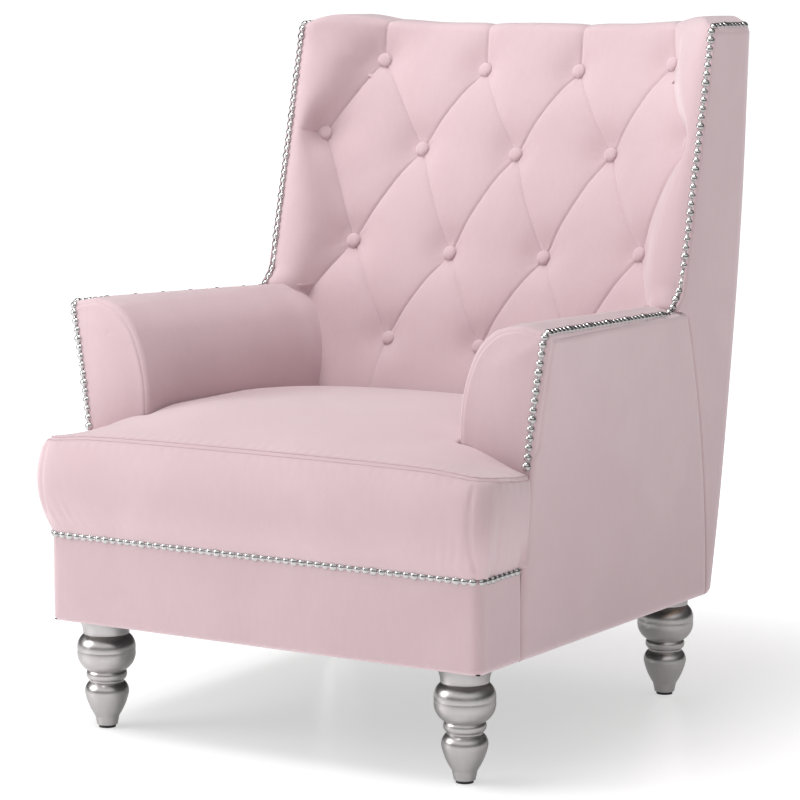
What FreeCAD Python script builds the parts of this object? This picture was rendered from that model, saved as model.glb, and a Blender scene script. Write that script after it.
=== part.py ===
import FreeCAD, Part
import math
import os
import Sketcher
from FreeCAD import Placement, Rotation, Vector

# Upholstered wing armchair with a tight T-shaped seat, a buttoned wing back, flared arms, nail-head
# trim and four turned legs.  The chair faces -Y, +Z is up, and the origin lies on the floor at the
# centre of the chair's footprint.  "left" is the sitter's left hand, which is the +X side.

doc = FreeCAD.newDocument("wing_armchair")

# ---------------------------------------------------------------- driving dimensions (millimetres)

DIMENSIONS = [
    ("base_width", 672, "outside of the covered base, side to side"),
    ("base_depth", 668, "outside of the covered base at its bottom, front to rear"),
    ("seat_overhang", 26, "how far the seat front stands proud of the base"),
    ("back_lean", 104, "how far the top of the back leans behind the base"),
    ("back_height", 958, "floor to the top of the back"),
    ("arm_height", 581, "floor to the crown of the arm at the front"),
    ("arm_drop", 14, "fall of the arm top from front to rear"),
    ("arm_top_width", 752, "outside of the flared arms at the top front"),
    ("wing_width", 688, "outside of the wings"),
    ("seat_between_arms", 487, "clear width between the arm pads"),
    ("seat_front_width", 708, "width of the T-shaped seat in front of the arms"),
    ("seat_edge_height", 408, "floor to the front top seam of the seat"),
    ("seat_crown_height", 443, "floor to the crown of the seat"),
    ("seat_rear_height", 418, "floor to the rear edge of the seat"),
    ("seat_depth", 549, "front of the seat to the foot of the back's padding"),
    ("back_padding", 58, "padding of the back at its foot, down to the webbing"),
    ("wing_setback", 11, "foot of the back's padding to the front edge of the wings"),
    ("post_depth", 46, "back posts and side seams at the base"),
    ("arm_setback", 102, "base front to the front of the arms"),
    ("leg_height", 150, "turned leg without its glide"),
    ("glide_height", 4, "nylon glide under each leg"),
    ("glide_diameter", 23, "nylon glide under each leg"),
    ("leg_ball_diameter", 79, "widest turning of the leg"),
    ("leg_collar_diameter", 80, "top of the leg"),
    ("front_leg_inset_x", 53, "base side to the front leg axis"),
    ("front_leg_inset_y", 54, "base front to the front leg axis"),
    ("rear_leg_inset_x", 60, "base side to the rear leg axis"),
    ("rear_leg_inset_y", 38, "base rear to the rear leg axis"),
    ("rail_height", 123, "height of the four base rails"),
    ("timber", 22, "thickness of rails, posts and stumps"),
    ("panel", 4, "covered outside panels, board and fabric"),
    ("cover", 3, "seat cover with its wadding"),
    ("corner_block", 110, "leg length of the triangular corner blocks"),
    ("block_height", 40, "height of the corner blocks"),
    ("bolt_diameter", 8, "hanger bolts of the legs"),
    ("bolt_length", 84, "hanger bolts of the legs"),
    ("spring_wire", 4, "wire of the sinuous seat springs"),
    ("nail_diameter", 11, "domed nail heads"),
    ("nail_rise", 3.2, "height of a nail head"),
    ("nail_pitch", 12, "spacing along each row of nails"),
    ("nail_inset", 6, "outer edge to the centre line of the arm and wing nails"),
    ("nail_line_height", 271, "floor to the row of nails across the base"),
    ("button_diameter", 22, "covered back buttons"),
    ("button_thickness", 8, "covered back buttons"),
    ("button_depth", 14, "depth of the tufts below the crown of the padding"),
    ("tuft_column", 78, "half the sideways spacing of the buttons"),
    ("first_row_drop", 72, "top of the back down to the top row of buttons"),
    ("last_row_rise", 76, "rear edge of the seat up to the bottom row of buttons"),
    ("row_lift", 24, "rise of a row of buttons from the centre line to the wings"),
    ("clearance", 0.3, "gap between padding and what it lies against"),
]

sheet = doc.addObject("Spreadsheet::Sheet", "Sizes")
for line, (alias, value, note) in enumerate(DIMENSIONS, start=1):
    sheet.set("A%d" % line, alias)
    sheet.set("B%d" % line, str(value))
    sheet.set("C%d" % line, note)
    sheet.setAlias("B%d" % line, alias)
doc.recompute()


class Dim:
    """A size that knows both its value and the sheet expression that it comes from."""

    def __init__(self, text, value):
        self.text = text
        self.value = float(value)

    @staticmethod
    def of(other):
        return other if isinstance(other, Dim) else Dim(repr(float(other)), other)

    def join(self, sign, other, value):
        return Dim("(%s %s %s)" % (self.text, sign, Dim.of(other).text), value)

    def __add__(self, other):
        return self.join("+", other, self.value + Dim.of(other).value)

    def __sub__(self, other):
        return self.join("-", other, self.value - Dim.of(other).value)

    def __mul__(self, other):
        return self.join("*", other, self.value * Dim.of(other).value)

    def __truediv__(self, other):
        return self.join("/", other, self.value / Dim.of(other).value)

    def __neg__(self):
        return self * -1

    def root(self):
        return Dim("sqrt(%s)" % self.text, math.sqrt(self.value))


class Sizes:
    """The sheet's cells as Dim values, read by alias."""

    def __getattr__(self, alias):
        return Dim("Sizes." + alias, sheet.get(alias))


S = Sizes()

# ---------------------------------------------------------------- places worked out from the sheet

half_base = S.base_width / 2
seat_front_y = (S.seat_overhang + S.base_depth + S.back_lean) / -2
base_front_y = seat_front_y + S.seat_overhang
base_rear_y = base_front_y + S.base_depth
top_rear_y = base_rear_y + S.back_lean
frame_z = S.glide_height + S.leg_height
rail_top_z = frame_z + S.rail_height
spring_top_z = rail_top_z + S.spring_wire
deck_thickness = Dim.of(2)
seat_bottom_z = spring_top_z + deck_thickness + S.spring_wire / 2
front_rail_back_y = base_front_y + S.panel + S.timber
arm_front_y = base_front_y + S.arm_setback
arm_panel_thickness = Dim.of(12)
arm_back_of_panel_y = arm_front_y + arm_panel_thickness
wing_half = S.wing_width / 2
wing_board_outer_x = wing_half - S.panel
post_outer_x = wing_board_outer_x - S.timber
post_inner_x = post_outer_x - S.timber
post_rear_inset = S.panel + 6
arm_crest_band = Dim.of(38)
rail_outer_x = half_base - S.panel
rail_inner_x = rail_outer_x - S.timber
seat_half = S.seat_between_arms / 2
arm_half_top = S.arm_top_width / 2
arm_rail_top_z = S.arm_height - 52
arm_rail_bottom_z = arm_rail_top_z - S.timber
arm_pad_thickness = Dim.of(31.5)
arm_pad_inner_x = seat_half
arm_liner_x = arm_pad_inner_x + arm_pad_thickness
arm_liner_thickness = Dim.of(3)
wing_foot_z = S.arm_height - S.arm_drop
back_top_z = S.back_height - 22
corner_radius = Dim.of(45)
base_corner_radius = Dim.of(14)

# The back is set out by three straight lines in side view: the crown of the padding on the centre
# line, the plane of the webbing behind it, and the front edge of the wings.
PAD_RAKE = 0.39
WEB_RAKE = 0.342
WING_RAKE = 0.244
WING_PADDING = 22
PAD_FOOT_RISE = 120
WEB_FOOT_RISE = 155
back_foot_y = seat_front_y + S.seat_depth
web_foot_z = seat_bottom_z + WEB_FOOT_RISE
web_foot_y = back_foot_y + S.back_padding
wing_foot_y = back_foot_y + S.wing_setback


def pad_y(z):
    """Crown of the padding on the centre line at height z."""
    return back_foot_y + (z - (seat_bottom_z + PAD_FOOT_RISE)) * PAD_RAKE


def web_y(z):
    """Front of the back posts, where the webbing lies."""
    return web_foot_y + (z - web_foot_z) * WEB_RAKE


def wing_y(z):
    """Front edge of the wings."""
    return wing_foot_y + (z - wing_foot_z) * WING_RAKE


# ---------------------------------------------------------------- helpers


def bind(feature, prop, dim):
    """Tie a property of a feature to the sheet."""
    feature.setExpression(prop, Dim.of(dim).text)


def box(label, low, high):
    """A squared piece of stock between two corners."""
    piece = doc.addObject("Part::Box", label)
    piece.Label = label
    for prop, axis, a, b in zip(("Length", "Width", "Height"), "xyz", low, high):
        bind(piece, prop, Dim.of(b) - Dim.of(a))
        bind(piece, "Placement.Base." + axis, a)
    return piece


def arc_geometry(start, end, bulge):
    """Circular arc from start to end; bulge is the tangent of a quarter of its angle."""
    chord = end - start
    side = Vector(-chord.y, chord.x, 0)
    centre = (start + end) * 0.5 + side * ((1 - bulge * bulge) / (4 * bulge))
    radius = (start - centre).Length
    first, last = (start, end) if bulge > 0 else (end, start)
    angles = [math.atan2(p.y - centre.y, p.x - centre.x) for p in (first, last)]
    circle = Part.Circle(centre, Vector(0, 0, 1), radius)
    return Part.ArcOfCircle(circle, angles[0], angles[1])


def draw(sketch, path):
    """Fill a sketch with a closed outline of lines and arcs whose corners are tied to the sheet.

    path holds (u, v) corners, or (u, v, bulge) where an arc leads on to the next corner.
    """
    corners = [(Dim.of(p[0]), Dim.of(p[1]), p[2] if len(p) > 2 else 0.0) for p in path]
    count = len(corners)
    ends = []
    for index, (u, v, bulge) in enumerate(corners):
        next_u, next_v, _ = corners[(index + 1) % count]
        start, end = Vector(u.value, v.value, 0), Vector(next_u.value, next_v.value, 0)
        if bulge:
            shape = sketch.addGeometry(arc_geometry(start, end, bulge), False)
            ends.append((shape, 1, 2) if bulge > 0 else (shape, 2, 1))
        else:
            shape = sketch.addGeometry(Part.LineSegment(start, end), False)
            ends.append((shape, 1, 2))
    for index in range(count):
        shape, _, tail = ends[index]
        next_shape, head, _ = ends[(index + 1) % count]
        sketch.addConstraint(Sketcher.Constraint("Coincident", shape, tail, next_shape, head))
    for index, (u, v, bulge) in enumerate(corners):
        shape, head, _ = ends[index]
        for kind, dim in (("DistanceX", u), ("DistanceY", v)):
            tie = sketch.addConstraint(Sketcher.Constraint(kind, -1, 1, shape, head, dim.value))
            bind(sketch, "Constraints[%d]" % tie, dim)
        if bulge:
            next_u, next_v, _ = corners[(index + 1) % count]
            run, rise = next_u - u, next_v - v
            radius = (run * run + rise * rise).root() * ((1 + bulge * bulge) / (4 * abs(bulge)))
            tie = sketch.addConstraint(Sketcher.Constraint("Radius", shape, radius.value))
            bind(sketch, "Constraints[%d]" % tie, radius)


def body_with_sketch(label, role, path, lift=0):
    """A body whose first sketch lies on one of its own origin planes, lifted along the normal."""
    body = doc.addObject("PartDesign::Body", label)
    body.Label = label
    sketch = body.newObject("Sketcher::SketchObject", label + "_outline")
    plane = [item for item in body.Origin.OriginFeatures if item.Role == role][0]
    sketch.AttachmentSupport = [(plane, "")]
    sketch.MapMode = "FlatFace"
    bind(sketch, "AttachmentOffset.Base.z", lift)
    draw(sketch, path)
    return body, sketch


def prism(label, axis, path, low, high):
    """A board cut to an outline: path lies across the axis, low and high lie along it."""
    role = {"x": "YZ_Plane", "y": "XZ_Plane", "z": "XY_Plane"}[axis]
    low, high = Dim.of(low), Dim.of(high)
    # The XZ plane's normal is -Y, so a board along +Y is lifted backwards and padded in reverse.
    lift = -low if axis == "y" else low
    body, sketch = body_with_sketch(label, role, path, lift)
    pad = body.newObject("PartDesign::Pad", label + "_pad")
    pad.Profile = sketch
    pad.Reversed = axis == "y"
    bind(pad, "Length", high - low)
    return body


def boolean(kind, label, base, tool):
    """Cut, Common or Fuse of two features."""
    result = doc.addObject("Part::" + kind, label)
    result.Label = label
    result.Base = base
    result.Tool = tool
    return result


def shaped(label, shape):
    """A piece whose free shape is built from the sheet's values in code."""
    piece = doc.addObject("Part::Feature", label)
    piece.Label = label
    piece.Shape = shape
    piece.Placement = Placement()
    return piece


def wire(path, place):
    """Closed wire of the same kind of path as draw() takes, put in space by place(u, v)."""
    corners = [(Dim.of(p[0]).value, Dim.of(p[1]).value, p[2] if len(p) > 2 else 0.0) for p in path]
    edges = []
    for index, (u, v, bulge) in enumerate(corners):
        next_u, next_v, _ = corners[(index + 1) % len(corners)]
        start, end = Vector(u, v, 0), Vector(next_u, next_v, 0)
        if bulge:
            chord = end - start
            middle = (start + end) * 0.5 + Vector(chord.y, -chord.x, 0) * (bulge / 2)
            points = [place(p.x, p.y) for p in (start, middle, end)]
            edges.append(Part.Arc(*points).toShape())
        else:
            edges.append(Part.LineSegment(place(u, v), place(next_u, next_v)).toShape())
    return Part.Wire(edges)


def arc_at(low, high, bulge, z):
    """First coordinate, at height z, of the arc that leads from low up to high."""
    chord = high - low
    middle = (low + high) * 0.5 + Vector(chord.y, -chord.x, 0) * (bulge / 2)
    if z <= low.y:
        return low.x
    if z >= high.y:
        return high.x
    level = Part.LineSegment(Vector(-3000, z, 0), Vector(3000, z, 0))
    return Part.Arc(low, middle, high).intersect(level)[0].X


def mirrored(path):
    """The same outline on the other side of the chair."""
    flipped = []
    for index in range(len(path)):
        corner = path[index]
        before = path[index - 1]
        bulge = before[2] if len(before) > 2 else 0.0
        flipped.append((-Dim.of(corner[0]), corner[1], bulge))
    flipped.reverse()
    return flipped


def on_side(path, side):
    """An outline drawn for the left (+X) side, or its mirror image for the right."""
    return path if side > 0 else mirrored(path)


def span(side, near, far):
    """Low and high ends along X of a piece that runs from near to far off the centre plane."""
    near, far = Dim.of(near), Dim.of(far)
    return (near, far) if side > 0 else (-far, -near)


SIDES = (("left", 1), ("right", -1))
parts = []

# ---------------------------------------------------------------- timber frame


def make_rails():
    """Four base rails: the side rails butt between the front rail and the back posts."""
    ease = base_corner_radius - S.panel + S.clearance
    front_face_y = base_front_y + S.panel
    plan = [(-rail_outer_x + ease, front_face_y), (rail_outer_x - ease, front_face_y),
            (rail_outer_x, front_face_y + ease), (rail_outer_x, front_rail_back_y),
            (-rail_outer_x, front_rail_back_y), (-rail_outer_x, front_face_y + ease)]
    parts.append(prism("front_rail", "z", plan, frame_z, rail_top_z))
    parts.append(box("rear_rail",
                     (-post_inner_x, base_rear_y - S.panel - S.timber, frame_z),
                     (post_inner_x, base_rear_y - S.panel, rail_top_z)))
    for name, side in SIDES:
        low_x, high_x = span(side, rail_inner_x, rail_outer_x)
        parts.append(box("side_rail_" + name,
                         (low_x, front_rail_back_y, frame_z),
                         (high_x, post_foot_y, rail_top_z)))


def leg_places():
    """Name and axis of each leg."""
    for name, side in SIDES:
        yield ("front_" + name, side, (half_base - S.front_leg_inset_x) * side,
               base_front_y + S.front_leg_inset_y)
        yield ("rear_" + name, side, (half_base - S.rear_leg_inset_x) * side,
               base_rear_y - S.rear_leg_inset_y)


def make_corner_blocks():
    """Triangular blocks in the base corners, drilled for the tee nuts of the legs."""
    rear_rail_front_y = base_rear_y - S.panel - S.timber
    for place, side, leg_x, leg_y in leg_places():
        front = place.startswith("front")
        corner_y = front_rail_back_y if front else rear_rail_front_y
        corner_x = rail_inner_x if front else post_inner_x
        reach_y = corner_y + S.corner_block if front else corner_y - S.corner_block
        path = [(corner_x, corner_y), (corner_x, reach_y), (corner_x - S.corner_block, corner_y)]
        block = prism("corner_block_" + place, "z", on_side(path, side),
                      frame_z, frame_z + S.block_height)
        drill = block.newObject("Sketcher::SketchObject", "drill_" + place)
        plane = [item for item in block.Origin.OriginFeatures if item.Role == "XY_Plane"][0]
        drill.AttachmentSupport = [(plane, "")]
        drill.MapMode = "FlatFace"
        bind(drill, "AttachmentOffset.Base.z", frame_z)
        radius = S.bolt_diameter / 2 + 1.25
        drill.addGeometry(Part.Circle(Vector(leg_x.value, leg_y.value, 0), Vector(0, 0, 1),
                                      radius.value), False)
        for kind, dim in (("DistanceX", leg_x), ("DistanceY", leg_y)):
            tie = drill.addConstraint(Sketcher.Constraint(kind, -1, 1, 0, 3, dim.value))
            bind(drill, "Constraints[%d]" % tie, dim)
        tie = drill.addConstraint(Sketcher.Constraint("Radius", 0, radius.value))
        bind(drill, "Constraints[%d]" % tie, radius)
        pocket = block.newObject("PartDesign::Pocket", "bore_" + place)
        pocket.Profile = drill
        pocket.Reversed = True
        bind(pocket, "Length", S.block_height)
        parts.append(block)


post_foot_y = base_rear_y - S.post_depth
rear_bulge = -0.045


def make_posts():
    """Shaped back posts, and the wing boards lapped on their outsides."""
    post_top_z = back_top_z - 2
    for name, side in SIDES:
        low_x, high_x = span(side, post_inner_x, post_outer_x)
        post = [(post_foot_y, frame_z), (post_foot_y, rail_top_z), (web_y(web_foot_z), web_foot_z),
                (web_y(post_top_z), post_top_z),
                (top_rear_y - post_rear_inset, post_top_z, rear_bulge),
                (base_rear_y - post_rear_inset, frame_z)]
        parts.append(prism("back_post_" + name, "x", post, low_x, high_x))
        low_x, high_x = span(side, post_outer_x, wing_board_outer_x)
        wing = [(wing_y(arm_rail_top_z) + WING_PADDING, arm_rail_top_z),
                (web_y(arm_rail_top_z) + 30, arm_rail_top_z),
                (web_y(post_top_z) - 26, post_top_z),
                (wing_y(post_top_z) + WING_PADDING, post_top_z)]
        parts.append(prism("wing_board_" + name, "x", wing, low_x, high_x))
    lumbar_y = web_y(web_foot_z + 40) + 2
    parts.append(box("back_lumbar_rail",
                     (-post_inner_x, lumbar_y, web_foot_z - 20),
                     (post_inner_x, lumbar_y + S.timber, web_foot_z + 40)))
    top_rail_y = web_y(post_top_z) + 1
    parts.append(box("back_top_rail",
                     (-post_inner_x, top_rail_y, post_top_z - 49),
                     (post_inner_x, top_rail_y + 10, post_top_z)))


def make_arm_frames():
    """Arm stumps on the side rails, arm rails from stump to back post, and a fibreboard liner."""
    for name, side in SIDES:
        low_x, high_x = span(side, rail_outer_x - 36, rail_outer_x)
        parts.append(box("arm_stump_" + name,
                         (low_x, arm_back_of_panel_y, rail_top_z),
                         (high_x, arm_back_of_panel_y + S.timber, arm_rail_bottom_z)))
        low_x, high_x = span(side, arm_liner_x + arm_liner_thickness, wing_board_outer_x)
        parts.append(box("arm_rail_" + name,
                         (low_x, arm_back_of_panel_y, arm_rail_bottom_z),
                         (high_x, web_y(arm_rail_bottom_z), arm_rail_top_z)))
        low_x, high_x = span(side, arm_liner_x, arm_liner_x + arm_liner_thickness)
        parts.append(box("arm_liner_" + name,
                         (low_x, arm_back_of_panel_y, rail_top_z),
                         (high_x, web_y(web_foot_z), arm_rail_top_z)))


# ---------------------------------------------------------------- springs, webbing and deck


def make_springs():
    """Sinuous springs from the front rail to the rear rail, each end held in a clip."""
    spring_count = 6
    bends = 20
    half_swing = 16.0
    wire_radius = (S.spring_wire / 2).value
    start_y = (base_front_y + S.panel + 11).value
    end_y = (base_rear_y - S.panel - 11).value
    z = rail_top_z.value + wire_radius
    pitch = (end_y - start_y) / bends
    spacing = (seat_half * 2).value / spring_count
    springs, clips = [], []
    for index in range(spring_count):
        centre_x = (index - (spring_count - 1) / 2) * spacing
        edges = []
        for bend in range(bends):
            y = start_y + bend * pitch
            way = 1 if bend % 2 else -1
            run_start = Vector(centre_x - way * half_swing, y, z)
            run_end = Vector(centre_x + way * half_swing, y, z)
            edges.append(Part.LineSegment(run_start, run_end).toShape())
            apex = Vector(centre_x + way * (half_swing + pitch / 2), y + pitch / 2, z)
            turn_end = Vector(centre_x + way * half_swing, y + pitch, z)
            edges.append(Part.Arc(run_end, apex, turn_end).toShape())
        way = 1 if bends % 2 else -1
        last = Vector(centre_x - way * half_swing, end_y, z)
        edges.append(Part.LineSegment(last, Vector(centre_x + way * half_swing, end_y, z)).toShape())
        route = Part.Wire(edges)
        section = Part.Wire(Part.Circle(edges[0].Vertexes[0].Point, Vector(1, 0, 0), wire_radius)
                            .toShape())
        springs.append(route.makePipeShell([section], True, False))
        for y in (start_y, end_y):
            clip = Part.makeBox(20, 12, 2 * wire_radius + 1.5, Vector(centre_x - 10, y - 6,
                                                                    rail_top_z.value))
            groove = Part.makeBox(20, 2 * wire_radius + 0.4, 2 * wire_radius + 0.1,
                                  Vector(centre_x - 10, y - wire_radius - 0.2, rail_top_z.value))
            clips.append(clip.cut(groove))
    parts.append(shaped("seat_springs", Part.makeCompound(springs)))
    parts.append(shaped("spring_clips", Part.makeCompound(clips)))


def make_back_webbing():
    """Elastic straps across the back posts, lying in the leaning plane of their front edges."""
    strap_count = 5
    strap_width = 50.0
    strap_thickness = 1.5
    first_z = web_foot_z.value + 12
    last_z = back_top_z.value - 110
    lean = math.degrees(math.atan(WEB_RAKE))
    straps = []
    for index in range(strap_count):
        z = first_z + (last_z - first_z) * index / (strap_count - 1)
        strap = Part.makeBox(2 * post_outer_x.value, strap_thickness, strap_width,
                             Vector(-post_outer_x.value, -strap_thickness, 0))
        foot_y = web_y(Dim.of(z)).value
        strap.Placement = Placement(Vector(0, foot_y, z), Rotation(Vector(1, 0, 0), -lean))
        straps.append(strap)
    parts.append(shaped("back_webbing", Part.makeCompound(straps)))


# ---------------------------------------------------------------- seat


def seat_block(label, inset, drop):
    """T-shaped seat block: plan outline and crowned side view, each set in by inset and drop."""
    half_front = S.seat_front_width / 2 - inset
    front_y = seat_front_y + inset
    shoulder_y = arm_front_y - S.clearance
    # The seat stops short of the inside back.
    rear_y = back_foot_y - 9 - inset
    half_stem = seat_half - S.clearance - inset
    radius = 25.0
    quarter = math.tan(math.pi / 8)
    plan = [(-half_front, shoulder_y), (-half_front, front_y + radius, quarter),
            (-half_front + radius, front_y), (half_front - radius, front_y, quarter),
            (half_front, front_y + radius), (half_front, shoulder_y),
            (half_stem, shoulder_y), (half_stem, rear_y),
            (-half_stem, rear_y), (-half_stem, shoulder_y)]
    crown_y = seat_front_y + S.base_depth * 0.42
    side = [(seat_front_y - 1, seat_bottom_z), (rear_y + 10, seat_bottom_z),
            (rear_y + 10, S.seat_rear_height - drop, 0.055),
            (crown_y, S.seat_crown_height - drop, 0.06),
            (seat_front_y - 1, S.seat_edge_height - drop)]
    outline = prism(label + "_plan", "z", plan, seat_bottom_z, S.seat_crown_height)
    crown = prism(label + "_crown", "x", side, S.seat_front_width / -2 - 1, S.seat_front_width / 2 + 1)
    return boolean("Common", label, outline, crown)


def make_seat():
    """Deck cloth over the springs, foam block and the crowned cover that wraps it."""
    deck_half = seat_half - S.clearance
    parts.append(box("seat_deck_cloth",
                     (-deck_half, base_front_y + S.panel + 20, spring_top_z + S.spring_wire / 2),
                     (deck_half, base_rear_y - S.panel - 20, seat_bottom_z)))
    outer = seat_block("seat_outer", Dim.of(0), Dim.of(0))
    inner = seat_block("seat_inner", S.cover, S.cover)
    parts.append(boolean("Cut", "seat_cover", outer, inner))
    parts.append(seat_block("seat_foam", S.cover + S.clearance, S.cover + S.clearance))


# ---------------------------------------------------------------- base panels


def make_base_panels():
    """The covered front panel, which returns round both corners, and the dust cover below."""
    radius = base_corner_radius
    quarter = math.tan(math.pi / 8)
    inner = radius - S.panel
    outer_x, inner_x = half_base, half_base - S.panel
    front_y, back_y = base_front_y, base_front_y + S.panel
    plan = [(-outer_x, arm_front_y), (-outer_x, front_y + radius, quarter),
            (-outer_x + radius, front_y), (outer_x - radius, front_y, quarter),
            (outer_x, front_y + radius), (outer_x, arm_front_y),
            (inner_x, arm_front_y), (inner_x, back_y + inner, -quarter),
            (inner_x - inner, back_y), (-inner_x + inner, back_y, -quarter),
            (-inner_x, back_y + inner), (-inner_x, arm_front_y)]
    parts.append(prism("base_front_panel", "z", plan, frame_z, seat_bottom_z - S.clearance))
    sheet_thickness = Dim.of(1.5)
    cloth = box("dust_cover_sheet",
                (-rail_outer_x, base_front_y + S.panel, frame_z - sheet_thickness),
                (rail_outer_x, base_rear_y - S.panel, frame_z))
    for place, side, leg_x, leg_y in leg_places():
        hole = doc.addObject("Part::Cylinder", "dust_cover_hole_" + place)
        bind(hole, "Radius", S.leg_collar_diameter / 2 + 2)
        bind(hole, "Height", sheet_thickness * 3)
        bind(hole, "Placement.Base.x", leg_x)
        bind(hole, "Placement.Base.y", leg_y)
        bind(hole, "Placement.Base.z", frame_z - sheet_thickness * 2)
        label = "dust_cover" if place == "rear_right" else "dust_cover_cut_" + place
        cloth = boolean("Cut", label, cloth, hole)
    parts.append(cloth)


# ---------------------------------------------------------------- arms

flare_bulge = -0.045
seam_bulge = 0.09
SEAM_LEAN = 73
seam_foot_y = base_rear_y - S.post_depth
seam_top_y = seam_foot_y - SEAM_LEAN


def flare_x(z):
    """Outside of the flared arm front at height z."""
    low = Vector(half_base.value, frame_z.value, 0)
    high = Vector(arm_half_top.value, S.arm_height.value - 7, 0)
    return arc_at(low, high, flare_bulge, z)


def seam_y(z):
    """Rear seam of the outside arm panel at height z."""
    low = Vector(seam_foot_y.value, frame_z.value, 0)
    high = Vector(seam_top_y.value, wing_foot_z.value, 0)
    return arc_at(low, high, seam_bulge, z)


def arm_crest(outer_x, top_z, inset):
    """The rolled inner and top edge of the arm, from the inside up and over to the outside."""
    inner_x = arm_pad_inner_x + inset
    return [(inner_x, top_z - 131, -0.1), (inner_x + 17, top_z - 50, -0.16),
            (inner_x + 50, top_z - 9, -0.1), (outer_x - arm_crest_band, top_z),
            (outer_x, top_z - 7)]


def arm_pad_rear_y():
    """Where the arm's top padding ends, against the front edge of the wing board."""
    return wing_y(arm_rail_top_z) + WING_PADDING - S.clearance


def make_arms():
    """Front panel, top and inside pad, and outside panel of each arm."""
    outer_top_z = S.arm_height - 7
    rear_top_z = S.arm_height - S.arm_drop
    for name, side in SIDES:
        panel_path = [(arm_half_top, outer_top_z, -flare_bulge), (half_base, frame_z),
                      (rail_outer_x, frame_z), (rail_outer_x, rail_top_z),
                      (arm_pad_inner_x, rail_top_z)]
        panel_path += arm_crest(arm_half_top, S.arm_height, Dim.of(0))[:-1]
        parts.append(prism("arm_front_panel_" + name, "y", on_side(panel_path, side),
                           arm_front_y, arm_back_of_panel_y))

        def pad_section(outer_x, outer_low_x, top_z, y, side=side):
            path = [(arm_pad_inner_x, seat_bottom_z)]
            path += arm_crest(outer_x - S.panel - S.clearance, top_z, Dim.of(0))
            path += [(outer_low_x - S.panel - S.clearance, arm_rail_top_z),
                     (arm_liner_x, arm_rail_top_z), (arm_liner_x, seat_bottom_z)]
            return wire(path, lambda u, v: Vector(side * u, y.value, v))

        pad_rear_y = arm_pad_rear_y()
        flare_low_x = Dim.of(flare_x(arm_rail_top_z.value))
        front = pad_section(arm_half_top, flare_low_x, S.arm_height, arm_back_of_panel_y)
        rear = pad_section(wing_half, wing_half, rear_top_z, pad_rear_y)
        pad = Part.makeLoft([front, rear], True, True)
        # Behind the arm the padding runs on to the webbing, inside the wing board.
        reach = (web_foot_y - pad_rear_y).value
        tail = Part.Face(rear).extrude(Vector(0, reach, 0))
        board = Part.makeBox(200, reach, S.back_height.value,
                             Vector(post_outer_x.value - S.clearance.value, pad_rear_y.value, 0))
        if side < 0:
            board = board.mirror(Vector(), Vector(1, 0, 0))
        parts.append(shaped("arm_pad_" + name, pad.fuse(tail.cut(board)).removeSplitter()))
        parts.append(shaped("outside_arm_panel_" + name, outside_arm_shape(side)))


def outside_arm_shape(side):
    """Warped panel between the flared front edge and the seam behind it."""
    levels = 5
    bottom = frame_z.value
    front_rise = S.arm_height.value - 7 - bottom
    rear_rise = wing_foot_z.value - 1 - bottom
    front_edge, rear_edge_points = [], []
    for index in range(levels):
        share = index / (levels - 1)
        z = bottom + front_rise * share
        front_edge.append(Vector(side * flare_x(z), arm_back_of_panel_y.value, z))
        z = bottom + rear_rise * share
        rear_edge_points.append(Vector(side * wing_half.value, seam_y(z), z))
    curves = []
    for points in (front_edge, rear_edge_points):
        curve = Part.BSplineCurve()
        curve.interpolate(points)
        curves.append(curve.toShape())
    face = Part.makeRuledSurface(*curves)
    return face.extrude(Vector(-side * S.panel.value, 0, 0))


# ---------------------------------------------------------------- outside of the wings and back


def make_back_panels():
    """Side panels of the wings, with a curved rear panel that wraps both rear corners."""
    skin_setback = 1.5
    for name, side in SIDES:
        low_x, high_x = span(side, wing_board_outer_x, wing_half)
        skin = [(seam_foot_y + S.clearance, frame_z, seam_bulge),
                (seam_top_y + S.clearance, wing_foot_z),
                (wing_y(wing_foot_z) + skin_setback, wing_foot_z),
                (wing_y(back_top_z) + skin_setback, back_top_z)]
        skin += [(top_rear_y - corner_radius - S.clearance, back_top_z, rear_bulge),
                 (base_rear_y - corner_radius - S.clearance, frame_z)]
        parts.append(prism("outside_wing_panel_" + name, "x", skin, low_x, high_x))
    parts.append(shaped("outside_back_panel", back_panel_shape()))


def rear_y_at(z):
    """Outside of the back at height z, on the same arc as the side panels' rear edges."""
    high = Vector(top_rear_y.value, back_top_z.value, 0)
    low = Vector(base_rear_y.value, frame_z.value, 0)
    return arc_at(low, high, -rear_bulge, z)


def back_panel_shape():
    """Rear panel lofted up the curved rear line, its ends wrapped round the corners."""
    half, radius, thickness = wing_half.value, corner_radius.value, S.panel.value
    quarter = math.tan(math.pi / 8)
    levels = 5
    sections = []
    for index in range(levels):
        z = frame_z.value + (back_top_z.value - frame_z.value) * index / (levels - 1)
        y = rear_y_at(z)
        inner = radius - thickness
        path = [(half, y - radius, quarter), (half - radius, y), (-half + radius, y, quarter),
                (-half, y - radius), (-half + thickness, y - radius, -quarter),
                (-half + thickness + inner, y - thickness),
                (half - thickness - inner, y - thickness, -quarter),
                (half - thickness, y - radius)]
        sections.append(wire(path, lambda u, v, z=z: Vector(u, v, z)))
    return Part.makeLoft(sections, True, False)


# ---------------------------------------------------------------- inside back

BARREL_POWER = 4
inside_half = wing_half - 18


def barrel_y(x, z, sink=0.0):
    """Concave inside back at a point, sunk below the crown of its padding by sink."""
    centre, edge = pad_y(Dim.of(z)).value, wing_y(Dim.of(z)).value + 4
    share = min(abs(x) / inside_half.value, 1.0)
    return centre + sink - (centre + sink - edge) * share ** BARREL_POWER


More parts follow.
